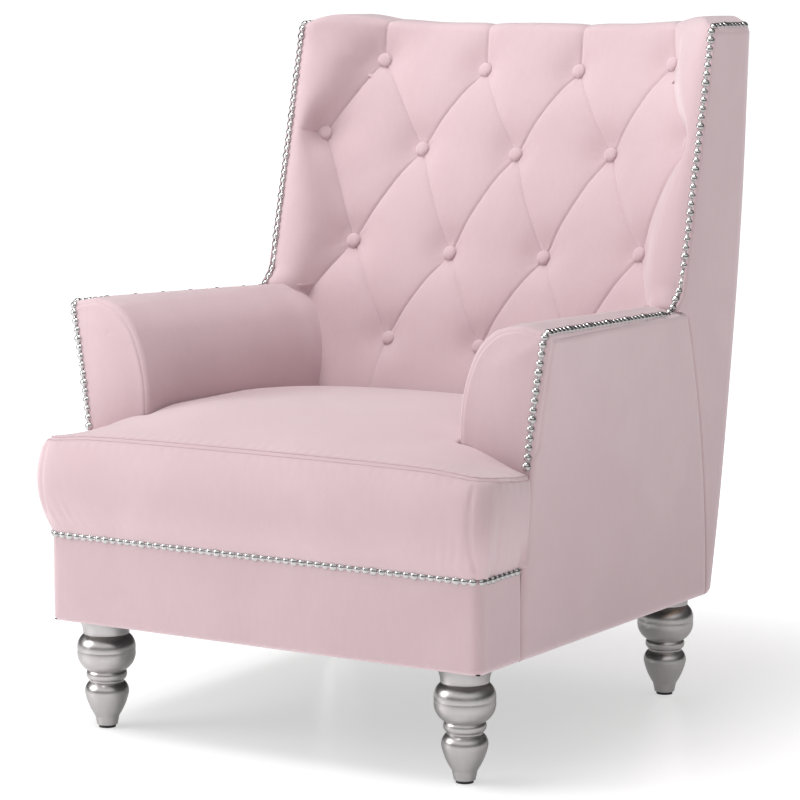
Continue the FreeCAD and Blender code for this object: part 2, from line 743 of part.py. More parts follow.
def button_places():
    """Centres of the buttons, in staggered rows."""
    column = S.tuft_column.value
    top = (S.back_height - S.first_row_drop).value
    fall = top - (S.seat_rear_height + S.last_row_rise).value
    rows = [(0, (-3, -1, 1, 3)), (15 / 49, (-3.75, -2, 0, 2, 3.75)),
            (33 / 49, (-3, -1, 1, 3)), (1, (-2, 0, 2))]
    for share, columns in rows:
        for step in columns:
            lift = S.row_lift.value * (abs(step) / 3.75) ** 3
            yield step * column, top - fall * share + lift


def arm_envelope(side, gap):
    """Everything under the arm's crest at its rear, which the inside back is cut round."""
    top_z = S.arm_height - S.arm_drop + gap
    path = [(arm_pad_inner_x - gap, seat_bottom_z)]
    path += arm_crest(wing_half - S.panel - S.clearance, top_z, Dim.of(-gap))
    path += [(wing_half, seat_bottom_z)]
    face = Part.Face(wire(path, lambda u, v: Vector(side * u, 0, v)))
    return face.extrude(Vector(0, top_rear_y.value, 0))


def make_inside_back():
    """Padding of the inside back and wings, with a sunk seat for each covered button."""
    gap = S.clearance.value
    pad_top, split_z = back_top_z.value - gap, wing_foot_z.value
    bottom_z = seat_bottom_z.value + PAD_FOOT_RISE

    def curve(x_end, y_of, z):
        """Smooth plan curve from -x_end to x_end, or back again when x_end is negative."""
        steps = 8
        points = []
        for index in range(steps + 1):
            x = x_end * (2 * index / steps - 1)
            points.append(Vector(x, y_of(x), z))
        spline = Part.BSplineCurve()
        spline.interpolate(points)
        return spline.toShape(), points[0], points[-1]

    def lines(corners):
        return [Part.LineSegment(a, b).toShape() for a, b in zip(corners, corners[1:])]

    def upper(z):
        wing, inner = wing_y(Dim.of(z)).value, inside_half.value
        half = wing_board_outer_x.value - gap
        board_x = post_outer_x.value - gap
        board_y = wing + WING_PADDING - gap
        centre = web_y(Dim.of(z)).value - 1.8
        fall = centre - (wing + WING_PADDING + 30)
        front, front_start, front_end = curve(inner, lambda x: barrel_y(x, z), z)
        rear, rear_start, rear_end = curve(
            -board_x, lambda x: centre - fall * (abs(x) / board_x) ** BARREL_POWER, z)
        right = [front_end, Vector(half, wing, z), Vector(half, board_y, z),
                 Vector(board_x, board_y, z), rear_start]
        left = [rear_end, Vector(-board_x, board_y, z), Vector(-half, board_y, z),
                Vector(-half, wing, z), front_start]
        return Part.Wire([front] + lines(right) + [rear] + lines(left))

    def lower(z):
        half = post_outer_x.value - gap
        front, front_start, front_end = curve(half, lambda x: barrel_y(x, z), z)
        rear_y = web_y(Dim.of(z)).value - 1.8
        corners = [front_end, Vector(half, rear_y, z), Vector(-half, rear_y, z), front_start]
        return Part.Wire([front] + lines(corners))

    pad = Part.makeLoft([upper(split_z), upper(pad_top)], True, True)
    low = Part.makeLoft([lower(bottom_z), lower(split_z)], True, True)
    for name, side in SIDES:
        low = low.cut(arm_envelope(side, gap + 0.2))
    pad = pad.fuse(low)
    radius = S.button_diameter.value / 2
    depth, thickness = S.button_depth.value, S.button_thickness.value
    buttons = []
    for x, z in button_places():
        seat_y = barrel_y(x, z) + depth
        axis = Vector(0, -1, 0)
        pad = pad.cut(Part.makeCylinder(radius + 5, 90, Vector(x, seat_y, z), axis))
        disc = Part.makeCylinder(radius, thickness, Vector(x, seat_y, z), axis)
        rim = [edge for edge in disc.Edges
               if isinstance(edge.Curve, Part.Circle)
               and abs(edge.Curve.Center.y - (seat_y - thickness)) < 0.01]
        buttons.append(disc.makeFillet(thickness * 0.5, rim))
    parts.append(shaped("inside_back_pad", pad.removeSplitter()))
    parts.append(shaped("back_buttons", Part.makeCompound(buttons)))


def make_top_roll():
    """Padded roll along the top edge of the wings and back."""
    quarter = math.tan(math.pi / 8)
    top_wing_y = wing_y(back_top_z)
    centre_y = pad_y(back_top_z)
    knee_x = inside_half - 95
    knee_y = centre_y - 22
    plan = [(wing_half, top_wing_y), (wing_half, top_rear_y - corner_radius, quarter),
            (wing_half - corner_radius, top_rear_y), (corner_radius - wing_half, top_rear_y, quarter),
            (-wing_half, top_rear_y - corner_radius), (-wing_half, top_wing_y),
            (-inside_half, top_wing_y + 4, -0.09), (-knee_x, knee_y, -0.06),
            (knee_x, knee_y, -0.09), (inside_half, top_wing_y + 4)]
    parts.append(prism("top_edge_roll", "z", plan, back_top_z, S.back_height))


# ---------------------------------------------------------------- nail-head trim


def nail_head():
    """One domed head standing on the origin along +Z."""
    radius, rise = S.nail_diameter.value / 2, S.nail_rise.value
    start, crest = Vector(radius, 0, 0), Vector(0, 0, rise)
    sphere = (radius * radius + rise * rise) / (2 * rise)
    angle = math.asin(radius / sphere) / 2
    middle = Vector(sphere * math.sin(angle), 0, rise - sphere * (1 - math.cos(angle)))
    edges = [Part.LineSegment(Vector(), start).toShape(), Part.Arc(start, middle, crest).toShape(),
             Part.LineSegment(crest, Vector()).toShape()]
    return Part.Face(Part.Wire(edges)).revolve(Vector(), Vector(0, 0, 1), 360)


def nail_row(head, points, normals):
    """Heads at a constant pitch along a polyline, each facing its stretch's normal."""
    pitch = S.nail_pitch.value
    lengths = [(b - a).Length for a, b in zip(points, points[1:])]
    count = int(sum(lengths) / pitch)
    nails = []
    for index in range(count):
        distance = (index + 0.5) * pitch
        stretch = 0
        while stretch < len(lengths) - 1 and distance > lengths[stretch]:
            distance -= lengths[stretch]
            stretch += 1
        a, b = points[stretch], points[stretch + 1]
        centre = a + (b - a) * min(distance / lengths[stretch], 1.0)
        normal = normals[stretch]
        nail = head.copy()
        nail.Placement = Placement(centre, Rotation(Vector(0, 0, 1), normal))
        nails.append(nail)
    return nails


def make_nails():
    """The row across the base, and the row up each arm front, along its top and up the wing."""
    head = nail_head()
    z = S.nail_line_height.value
    x, y = half_base.value, base_front_y.value
    end_y = arm_front_y.value - S.nail_pitch.value * 0.5
    turn = 14.0
    stretches = [([Vector(-x, end_y, z), Vector(-x, y + turn, z)], Vector(-1, 0, 0)),
                 ([Vector(-x + turn, y, z), Vector(x - turn, y, z)], Vector(0, -1, 0)),
                 ([Vector(x, y + turn, z), Vector(x, end_y, z)], Vector(1, 0, 0))]
    front = []
    for points, normal in stretches:
        front += nail_row(head, points, [normal])
    parts.append(shaped("nail_trim_front", Part.makeCompound(front)))

    inset = S.nail_inset.value
    start_z = S.seat_crown_height.value
    top_z = S.arm_height.value - 7
    steps = 8
    for name, side in SIDES:
        face_y = arm_front_y.value
        rise = []
        for index in range(steps + 1):
            level = start_z + (top_z - 8 - start_z) * index / steps
            rise.append(Vector(side * (flare_x(level) - inset - 1), face_y, level))
        nails = nail_row(head, rise, [Vector(0, -1, 0)] * steps)
        nails += arm_top_nails(head, side)
        nails += wing_nails(head, side)
        nails += wing_top_nails(head, side)
        parts.append(shaped("nail_trim_" + name, Part.makeCompound(nails)))


def arm_top_nails(head, side):
    """Heads along the outer edge of the arm top, lying on its sloped outer band."""
    inset = S.nail_inset.value
    skin = S.panel.value + S.clearance.value
    slope = 7 / arm_crest_band.value
    drop = 7 - slope * inset
    front_y, rear_y = arm_back_of_panel_y.value, arm_pad_rear_y().value
    front = Vector(side * (arm_half_top.value - skin - inset), front_y, S.arm_height.value - drop)
    rear = Vector(side * (wing_half.value - skin - inset), rear_y,
                  (S.arm_height - S.arm_drop).value - drop)
    along = rear - front
    normal = Vector(-side, 0, slope).cross(along)
    if normal.z < 0:
        normal = normal * -1
    normal.normalize()
    front = front + normal * S.clearance.value
    return nail_row(head, [front, front + along * 0.94], [normal])


def wing_nails(head, side):
    """Heads up the front face of the wing, which slopes 4 mm between its edges."""
    low_z, high_z = wing_foot_z.value + 12, back_top_z.value - 4
    half = wing_board_outer_x.value - S.clearance.value
    fall = 4 / (half - inside_half.value)
    x = wing_half.value - S.nail_inset.value

    def face_point(z):
        return Vector(side * x, wing_y(Dim.of(z)).value + fall * (half - x), z)

    low, high = face_point(low_z), face_point(high_z)
    normal = Vector(side, -fall, 0).cross(high - low)
    if normal.y > 0:
        normal = normal * -1
    normal.normalize()
    lift = normal * S.clearance.value
    return nail_row(head, [low + lift, high + lift], [normal])


def wing_top_nails(head, side):
    """Heads that carry the wing's row on to the rear, round the outside of the top roll."""
    reach = 8 * S.nail_pitch.value
    x = wing_half.value + S.clearance.value
    y = wing_y(back_top_z).value + S.nail_inset.value
    z = (S.back_height - S.nail_inset).value
    return nail_row(head, [Vector(side * x, y, z), Vector(side * x, y + reach, z)],
                    [Vector(side, 0, 0)])


# ---------------------------------------------------------------- legs


def leg_profile():
    """Half outline of the turned leg with its bolt hole, from the glide up to the collar."""
    ball = S.leg_ball_diameter / 2
    collar = S.leg_collar_diameter / 2
    top = S.leg_height
    bore = S.bolt_diameter / 2 + 0.1
    bore_foot = top - (S.bolt_length - S.block_height) - 3
    return [(0, 0), (14, 0), (16.5, 12, 0.09), (ball - 10, 42, 0.3), (23.5, 60, -0.2),
            (23.8, 62.5, 0.42), (26, 75.5), (27, 76.5, 0.3), (ball, 104, 0.32),
            (ball - 11, top - 23), (31.5, top - 23), (31.5, top - 20.5, -0.16),
            (collar - 1, top - 2.5), (collar, top - 2), (collar, top), (bore, top),
            (bore, bore_foot), (0, bore_foot)]


def make_legs():
    """Turned legs with their glides, hanger bolts and tee nuts."""
    glides, bolts, nuts = [], [], []
    for place, side, leg_x, leg_y in leg_places():
        leg, sketch = body_with_sketch("leg_" + place, "XZ_Plane", leg_profile())
        turning = leg.newObject("PartDesign::Revolution", "turning_" + place)
        turning.Profile = sketch
        turning.ReferenceAxis = (sketch, ["V_Axis"])
        turning.Angle = 360
        bind(leg, "Placement.Base.x", leg_x)
        bind(leg, "Placement.Base.y", leg_y)
        bind(leg, "Placement.Base.z", S.glide_height)
        parts.append(leg)
        foot = Vector(leg_x.value, leg_y.value, 0)
        glides.append(Part.makeCylinder(S.glide_diameter.value / 2, S.glide_height.value, foot))
        block_top = frame_z.value + S.block_height.value
        bolt_radius = S.bolt_diameter.value / 2
        bolt_foot = Vector(foot.x, foot.y, block_top + 2 - S.bolt_length.value)
        bolts.append(Part.makeCylinder(bolt_radius, S.bolt_length.value, bolt_foot))
        flange = Part.makeCylinder(10, 1.5, Vector(foot.x, foot.y, block_top))
        barrel = Part.makeCylinder(bolt_radius + 1, 9, Vector(foot.x, foot.y, block_top - 9))
        tap = Part.makeCylinder(bolt_radius + 0.1, 20, Vector(foot.x, foot.y, block_top - 12))
        nuts.append(flange.fuse(barrel).cut(tap))
    parts.append(shaped("leg_glides", Part.makeCompound(glides)))
    parts.append(shaped("hanger_bolts", Part.makeCompound(bolts)))
    parts.append(shaped("tee_nuts", Part.makeCompound(nuts)))


# ---------------------------------------------------------------- build, check and write


def build():
    make_rails()
    make_corner_blocks()
    make_posts()
    make_arm_frames()
    make_springs()
    make_back_webbing()
    make_seat()
    make_base_panels()
    make_arms()
    make_back_panels()
    make_inside_back()
    make_top_roll()
    make_nails()
    make_legs()
    doc.recompute()


def check():
    """Stop on any failed object or bad shape before a file is written."""
    for item in doc.Objects:
        if "Invalid" in item.State or "Error" in item.State:
            raise RuntimeError("%s did not recompute: %s" % (item.Label, item.State))
    for item in parts:
        if item.Shape.isNull() or not item.Shape.isValid():
            raise RuntimeError("%s has no valid shape" % item.Label)


def write():
    os.makedirs("parts", exist_ok=True)
    for item in parts:
        item.Shape.exportStep(os.path.join("parts", item.Label + ".step"))


build()
check()
write()
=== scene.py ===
import math

import bmesh
import bpy
import numpy as np
from bpy.props import FloatProperty, FloatVectorProperty, IntProperty, PointerProperty
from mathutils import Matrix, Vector, bvhtree, kdtree, noise


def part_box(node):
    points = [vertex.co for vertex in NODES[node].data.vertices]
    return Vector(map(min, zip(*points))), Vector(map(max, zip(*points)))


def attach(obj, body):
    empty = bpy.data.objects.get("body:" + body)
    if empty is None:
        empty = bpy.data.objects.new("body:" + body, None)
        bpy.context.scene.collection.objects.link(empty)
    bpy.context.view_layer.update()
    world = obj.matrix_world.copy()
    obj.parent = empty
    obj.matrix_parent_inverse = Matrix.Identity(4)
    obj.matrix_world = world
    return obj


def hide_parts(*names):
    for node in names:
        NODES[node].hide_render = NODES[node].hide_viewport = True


# Upholstered wing armchair: pale pink velvet with a buttoned inside back, a tight T-shaped seat,
# flared arms, nail-head trim and turned silver legs.  The chair faces -Y and stands on z = 0.

bl_info = {
    "name": "Wing Armchair",
    "version": (1, 0, 0),
    "blender": (4, 5, 0),
    "location": "3D View > Sidebar > Armchair",
    "description": "Builds the upholstery, trim and finishes of a buttoned wing armchair",
    "category": "Object",
}

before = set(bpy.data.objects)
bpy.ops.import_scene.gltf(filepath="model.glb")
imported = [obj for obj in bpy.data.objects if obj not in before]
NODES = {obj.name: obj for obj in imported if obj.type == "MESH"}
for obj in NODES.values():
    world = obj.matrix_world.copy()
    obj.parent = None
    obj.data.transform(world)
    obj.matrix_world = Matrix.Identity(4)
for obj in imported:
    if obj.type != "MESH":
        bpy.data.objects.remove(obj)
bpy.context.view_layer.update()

# ---------------------------------------------------------------- places read from the frame

ROLL_LOW, ROLL_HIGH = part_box("top_edge_roll")
SEAT_LOW, SEAT_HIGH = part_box("seat_cover")
BASE_LOW, BASE_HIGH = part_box("base_front_panel")
ARM_LOW, ARM_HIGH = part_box("arm_front_panel_left")
SIDE_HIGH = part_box("outside_arm_panel_left")[1]
PAD_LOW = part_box("inside_back_pad")[0]

WING_HALF = ROLL_HIGH.x
BACK_TOP = ROLL_LOW.z
FRAME_Z = BASE_LOW.z
PANEL_FOOT = FRAME_Z - 0.0015
EAR_TOP = SEAT_HIGH.z - 0.045
HALF_BASE = BASE_HIGH.x
SEAT_HALF = ARM_LOW.x
ARM_FRONT = ARM_LOW.y
ARM_TOP = ARM_HIGH.z
ARM_OUTER = ARM_HIGH.x
TOP_REAR = ROLL_HIGH.y
NAIL_Z = sum(corner.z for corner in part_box("nail_trim_front")) / 2
BASE_FRONT = BASE_LOW.y
PAD_FOOT = PAD_LOW.z
WING_FOOT = ARM_TOP - 0.014
SIDES = (("left", 1), ("right", -1))


# ---------------------------------------------------------------- settings


class VelvetSettings(bpy.types.PropertyGroup):
    pile: FloatVectorProperty(
        name="Pile", description="Colour of the velvet looking into the pile",
        subtype="COLOR", size=3, min=0, max=1, default=(0.575, 0.422, 0.447))
    brushed: FloatVectorProperty(
        name="Brushed", description="Colour where the pile is brushed the other way",
        subtype="COLOR", size=3, min=0, max=1, default=(0.605, 0.452, 0.476))
    patch_scale: FloatProperty(
        name="Patch scale", description="Brushed patches in each metre", min=1, max=40, default=7.0)


class BackSettings(bpy.types.PropertyGroup):
    button_depth: FloatProperty(
        name="Button depth", description="Depth of each tuft below the crown of the padding",
        unit="LENGTH", min=0, max=0.04, default=0.0175)
    pleat_depth: FloatProperty(
        name="Pleat depth", description="Depth of the pleats halfway between two buttons",
        unit="LENGTH", min=0, max=0.02, default=0.0048)
    pleat_width: FloatProperty(
        name="Pleat width", description="How far a pleat draws the padding in on each side",
        unit="LENGTH", min=0.002, max=0.05, default=0.012)
    groove: FloatProperty(
        name="Groove", description="Depth of the sharp line along each pleat",
        unit="LENGTH", min=0, max=0.01, default=0.0016)
    fold: FloatProperty(
        name="Fold", description="How far one side of a pleat stands over the other",
        unit="LENGTH", min=0, max=0.005, default=0.0004)
    dimple: FloatProperty(
        name="Dimple", description="Reach of the hollow round each button",
        unit="LENGTH", min=0.01, max=0.08, default=0.028)
    button_radius: FloatProperty(
        name="Button radius", description="Radius of the covered buttons",
        unit="LENGTH", min=0.004, max=0.03, default=0.0102)
    wing_roll: FloatProperty(
        name="Wing roll",
        description="Height of the padded roll between the outer buttons and nails",
        unit="LENGTH", min=0, max=0.03, default=0.017)
    spacing: FloatProperty(
        name="Spacing", description="Distance between points of the fabric away from the pleats",
        unit="LENGTH", min=0.002, max=0.02, default=0.0045)


class SeatSettings(bpy.types.PropertyGroup):
    spacing: FloatProperty(
        name="Spacing", description="Distance between points of the cover before it is filled",
        unit="LENGTH", min=0.003, max=0.02, default=0.006)
    pressure: FloatProperty(
        name="Filling pressure", description="Pressure of the filling on the cover",
        min=0, max=20, default=4.0)
    swell: FloatProperty(
        name="Swell", description="Furthest that the filling moves the cover",
        unit="LENGTH", min=0, max=0.03, default=0.006)
    stitch: FloatProperty(
        name="Stitch", description="Length of one stitch of the top seam",
        unit="LENGTH", min=0.001, max=0.01, default=0.0034)


class TrimSettings(bpy.types.PropertyGroup):
    nail_diameter: FloatProperty(
        name="Nail", description="Diameter of the separate nail heads",
        unit="LENGTH", min=0.004, max=0.02, default=0.0118)
    strip_diameter: FloatProperty(
        name="Strip dome", description="Diameter of the joined domes between two nails",
        unit="LENGTH", min=0.004, max=0.02, default=0.0102)
    pitch: FloatProperty(
        name="Pitch", description="Spacing along a row",
        unit="LENGTH", min=0.006, max=0.04, default=0.012)
    strip_domes: IntProperty(
        name="Domes", description="Joined domes between one nail and the next",
        min=0, max=20, default=4)


class StageSettings(bpy.types.PropertyGroup):
    lens: FloatProperty(name="Lens", description="Focal length of the camera", min=20, max=300,
                        default=137.5)
    bearing: FloatProperty(
        name="Bearing", description="How far the camera stands round to the sitter's left",
        subtype="ANGLE", default=math.radians(31.626))
    fall: FloatProperty(name="Fall", description="How far the camera looks down",
                        subtype="ANGLE", default=math.radians(7.667))


# ---------------------------------------------------------------- mesh helpers


def smoothstep(low, high, value):
    t = np.clip((value - low) / (high - low), 0.0, 1.0)
    return t * t * (3 - 2 * t)


def new_piece(name, vertices, faces, material, nodes):
    """A mesh that rides on the chair, shows one finish and stands for some frame nodes."""
    mesh = bpy.data.meshes.new(name)
    mesh.from_pydata(np.asarray(vertices, float).tolist(), [], faces)
    tidy = bmesh.new()
    tidy.from_mesh(mesh)
    bmesh.ops.remove_doubles(tidy, verts=tidy.verts, dist=1e-6)
    bmesh.ops.recalc_face_normals(tidy, faces=tidy.faces)
    tidy.to_mesh(mesh)
    tidy.free()
    return mesh_piece(name, mesh, material, nodes)


def piece_from_bmesh(name, source, material, nodes):
    """The same, from a bmesh that it uses up."""
    bmesh.ops.recalc_face_normals(source, faces=source.faces)
    mesh = bpy.data.meshes.new(name)
    source.to_mesh(mesh)
    source.free()
    return mesh_piece(name, mesh, material, nodes)


def mesh_piece(name, mesh, material, nodes):
    mesh.shade_smooth()
    mesh.materials.append(material)
    piece = bpy.data.objects.new(name, mesh)
    bpy.context.scene.collection.objects.link(piece)
    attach(piece, "root")
    if nodes:
        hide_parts(*nodes)
    return piece


def mesh_normals(mesh):
    normals = np.empty(len(mesh.vertices) * 3, np.float32)
    mesh.vertex_normals.foreach_get("vector", normals)
    return normals.reshape(-1, 3)


def mesh_places(mesh):
    places = np.empty(len(mesh.vertices) * 3, np.float32)
    mesh.vertices.foreach_get("co", places)
    return places.reshape(-1, 3).astype(float)


def grid_faces(rows, columns, offset=0, close_columns=False):
    """Quads of a grid of points, counted row by row."""
    faces = []
    last = columns if close_columns else columns - 1
    for row in range(rows - 1):
        for column in range(last):
            right = (column + 1) % columns
            a = offset + row * columns + column
            b = offset + row * columns + right
            faces.append((a, b, b + columns, a + columns))
    return faces


def grid_normals(points):
    """Unit normals of a grid of points, from its own slopes."""
    along = np.gradient(points, axis=0)
    across = np.gradient(points, axis=1)
    normal = np.cross(across, along)
    return normal / np.maximum(np.linalg.norm(normal, axis=2, keepdims=True), 1e-12)


def rim_of(points):
    """The border of a grid of points, once round."""
    return np.concatenate([points[0, :-1], points[:-1, -1], points[-1, :0:-1], points[:0:-1, 0]])


def closed_pad(points, outward, thickness, rim_radius, wobble):
    """Vertices and faces of a covered panel.

    points is the grid of its face and outward the side that the face looks to.  The rim is rolled
    over by rim_radius, and the panel is closed behind at its thickness.
    """
    normals = grid_normals(points)
    if np.mean(np.sum(normals * outward, axis=2)) < 0:
        normals = -normals
    rows, columns = points.shape[:2]
    down = np.concatenate([[0], np.cumsum(np.linalg.norm(
        np.diff(points[:, columns // 2], axis=0), axis=1))])
    across = np.concatenate([np.zeros((rows, 1)), np.cumsum(np.linalg.norm(
        np.diff(points, axis=1), axis=2), axis=1)], axis=1)
    edge = np.minimum(np.minimum(down, down[-1] - down)[:, None],
                      np.minimum(across, across[:, -1:] - across))
    inside = np.clip(rim_radius - edge, 0, rim_radius)
    lift = np.sqrt(np.maximum(rim_radius ** 2 - inside ** 2, 0)) - rim_radius
    if wobble:
        lift += wobble * ripple(points) * smoothstep(0, 0.03, edge)
    face = points + normals * lift[:, :, None]
    start = rows * columns
    vertices = np.concatenate([face.reshape(-1, 3), (points - normals * thickness).reshape(-1, 3)])
    faces = grid_faces(rows, columns)
    faces += [tuple(start + corner for corner in reversed(one)) for one in faces]
    ring = rim_of(np.arange(start).reshape(rows, columns, 1))[:, 0].tolist()
    for here, after in zip(ring, ring[1:] + ring[:1]):
        faces.append((here, after, start + after, start + here))
    return vertices, faces


def panel_cover(name, points, outward, thickness, rim_radius, wobble, nodes):
    """Velvet over a panel, as a piece of its own."""
    vertices, faces = closed_pad(points, np.array(outward), thickness, rim_radius, wobble)
    new_piece(name, vertices, faces, velvet(), nodes)


def ripple(points, scale=5.0, seed=3.0):
    """Slow unevenness of stretched fabric, between about -1 and 1."""
    flat = points.reshape(-1, 3)
    values = [noise.noise(Vector((p[0] * scale + seed, p[1] * scale, p[2] * scale * 0.7)))
              + 0.5 * noise.noise(Vector((p[0] * scale * 3, p[1] * scale * 3 + seed, p[2] * scale)))
              for p in flat]
    return np.array(values).reshape(points.shape[:2])


def arc_path(corners, steps=12):
    """Points along an outline of (u, v) or (u, v, bulge) corners; a bulge bends the next run."""
    points = []
    for start, end in zip(corners, corners[1:]):
        a, b = np.array(start[:2], float), np.array(end[:2], float)
        bulge = start[2] if len(start) > 2 else 0.0
        chord = b - a
        side = np.array([chord[1], -chord[0]])
        turn = 4 * math.atan(bulge)
        for step in range(steps):
            t = step / steps
            if abs(bulge) < 1e-9:
                points.append(a + chord * t)
                continue
            radius_line = (1 - bulge * bulge) / (4 * bulge)
            centre = (a + b) / 2 - side * radius_line
            arm = a - centre
            angle = turn * t
            points.append(centre + np.array([
                arm[0] * math.cos(angle) - arm[1] * math.sin(angle),
                arm[0] * math.sin(angle) + arm[1] * math.cos(angle)]))
    points.append(np.array(corners[-1][:2], float))
    return np.array(points)


def resample(points, count):
    """The same line with evenly spaced points."""
    lengths = np.concatenate([[0], np.cumsum(np.linalg.norm(np.diff(points, axis=0), axis=1))])
    wanted = np.linspace(0, lengths[-1], count)
    return np.stack([np.interp(wanted, lengths, points[:, k]) for k in range(points.shape[1])], 1)


def islands(node):
    """Vertices of each separate solid of a frame node."""
    mesh = NODES[node].data
    solid = bmesh.new()
    solid.from_mesh(mesh)
    bmesh.ops.remove_doubles(solid, verts=solid.verts, dist=1e-5)
    unseen = set(solid.verts)
    found = []
    while unseen:
        stack = [unseen.pop()]
        group = []
        while stack:
            vertex = stack.pop()
            group.append(vertex.co.copy())
            for edge in vertex.link_edges:
                other = edge.other_vert(vertex)
                if other in unseen:
                    unseen.remove(other)
                    stack.append(other)
        found.append(np.array(group))
    solid.free()
    return found


# ---------------------------------------------------------------- lines of the chair

PAD_RAKE = 0.39
WING_RAKE = 0.244
FLARE_BULGE = -0.045
SEAM_BULGE = 0.09
REAR_BULGE = 0.045
CORNER_RADIUS = 0.045
BARREL_POWER = 4
PUCKER_PITCH = 0.017
GATHER_PITCH = 0.015
INSIDE_HALF = WING_HALF - 0.018
PAD_FOOT_Y = SEAT_HIGH.y + 0.009
WING_TOP_Y = ROLL_LOW.y


def pad_y(z):
    """Crown of the inside back's padding on the centre line."""
    return PAD_FOOT_Y + (z - PAD_FOOT) * PAD_RAKE


def wing_y(z):
    """Front edge of the wings."""
    return WING_TOP_Y + (z - BACK_TOP) * WING_RAKE


def foot_sweep(z):
    """How far the wing's front edge runs forward where it meets the arm."""
    return 0.016 * (1 - smoothstep(WING_FOOT - 0.004, WING_FOOT + 0.034, z)) ** 2


def arc_value(low, high, bulge, z):
    """First coordinate at height z of the arc from low up to high."""
    line = arc_path([(low[0], low[1], bulge), high], 24)
    return np.interp(z, line[:, 1], line[:, 0])


def flare_x(z):
    """Outside of the flared arm front at height z."""
    return arc_value((HALF_BASE, FRAME_Z), (ARM_OUTER, ARM_TOP - 0.007), FLARE_BULGE, z)


def seam_y(z):
    """Seam between the outside arm and the outside wing at height z."""
    return arc_value((SIDE_HIGH.y, FRAME_Z), (SIDE_HIGH.y - 0.073, WING_FOOT), SEAM_BULGE, z)


def rear_y(z):
    """Outside of the back at height z."""
    return arc_value((BACK_REAR_FOOT, FRAME_Z), (TOP_REAR, BACK_TOP), REAR_BULGE, z)


BACK_REAR_FOOT = BASE_FRONT + 0.668


def barrel_y(x, z):
    """Crown of the concave inside back at a point."""
    centre, edge = pad_y(z), wing_y(z) + 0.004
    share = np.minimum(np.abs(x) / INSIDE_HALF, 1.03)
    return centre - (centre - edge) * share ** BARREL_POWER


# ---------------------------------------------------------------- finishes


def wire(tree, kind, inputs=(), place=(0, 0), **values):
    """Adds a node with its inputs set to values or linked to sockets."""
    item = tree.nodes.new(kind)
    item.location = place
    for key, value in values.items():
        setattr(item, key, value)
    for key, given in dict(inputs).items():
        if isinstance(given, bpy.types.NodeSocket):
            tree.links.new(given, item.inputs[key])
        else:
            item.inputs[key].default_value = given
    return item


FLOAT, COLOUR = "NodeSocketFloat", "NodeSocketColor"
# Sockets of the two colours and the result of a Mix node set to colours.
FIRST, SECOND, MIXED = 6, 7, 2


def group_tree(name, inputs):
    """An empty shader node group with its sockets, and where on the object a point lies."""
    tree = bpy.data.node_groups.new(name, "ShaderNodeTree")
    for label, kind, default in inputs:
        socket = tree.interface.new_socket(label, in_out="INPUT", socket_type=kind)
        socket.default_value = default
    for label, kind in (("Color", COLOUR), ("Roughness", FLOAT), ("Height", FLOAT)):
        tree.interface.new_socket(label, in_out="OUTPUT", socket_type=kind)
    where = tree.nodes.new("ShaderNodeTexCoord")
    return tree, tree.nodes.new("NodeGroupInput").outputs, where.outputs["Object"]


def nap_group():
    """Velvet pile: brushed patches, fine strokes and the grain of the pile."""
    if "velvet_nap" in bpy.data.node_groups:
        return bpy.data.node_groups["velvet_nap"]
    tree, given, where = group_tree(
        "velvet_nap",
        [("Pile", COLOUR, (0.6, 0.36, 0.4, 1)), ("Brushed", COLOUR, (0.7, 0.46, 0.5, 1)),
         ("Patch Scale", FLOAT, 7.0), ("Grain", FLOAT, 1.0)])
    patches = wire(tree, "ShaderNodeTexNoise", {
        "Vector": where, "Scale": given["Patch Scale"], "Detail": 3.0, "Roughness": 0.55,
        "Distortion": 0.6}, (-600, 200))
    stretch = wire(tree, "ShaderNodeMapping", {
        "Vector": where, "Scale": (150.0, 150.0, 34.0)}, (-800, -100))
    strokes = wire(tree, "ShaderNodeTexNoise", {
        "Vector": stretch.outputs[0], "Scale": 1.0, "Detail": 2.0}, (-600, -100))
    fibres = wire(tree, "ShaderNodeTexNoise", {
        "Vector": where, "Scale": 1100.0, "Detail": 1.0}, (-600, -400))
    spread = wire(tree, "ShaderNodeMapRange", {
        "Value": patches.outputs["Fac"], "From Min": 0.36, "From Max": 0.66}, (-400, 200))
    streak = wire(tree, "ShaderNodeMath", {0: strokes.outputs["Fac"], 1: 1.0, 2: -0.5},
                  (-400, -100), operation="MULTIPLY_ADD")
    both = wire(tree, "ShaderNodeMath", {0: spread.outputs["Result"], 1: streak.outputs[0]},
                (-200, 100), operation="ADD", use_clamp=True)
    colour = wire(tree, "ShaderNodeMix", place=(0, 200), data_type="RGBA", inputs={
        "Factor": both.outputs[0], FIRST: given["Pile"], SECOND: given["Brushed"]})
    value = wire(tree, "ShaderNodeMapRange", {
        "Value": fibres.outputs["Fac"], "To Min": 0.95, "To Max": 1.05}, (0, -100))
    speck = wire(tree, "ShaderNodeHueSaturation", {
        "Value": value.outputs["Result"], "Color": colour.outputs[MIXED]}, (200, 200))
    rough = wire(tree, "ShaderNodeMapRange", {
        "Value": both.outputs[0], "To Min": 0.78, "To Max": 0.92}, (0, -300))
    height = wire(tree, "ShaderNodeMath", {
        0: strokes.outputs["Fac"], 1: 0.35, 2: fibres.outputs["Fac"]}, (0, -500),
        operation="MULTIPLY_ADD")
    grain = wire(tree, "ShaderNodeMath", {0: height.outputs[0], 1: given["Grain"]},
                 (200, -500), operation="MULTIPLY")
    wire(tree, "NodeGroupOutput", {
        "Color": speck.outputs["Color"], "Roughness": rough.outputs["Result"],
        "Height": grain.outputs[0]}, (400, 0))
    return tree


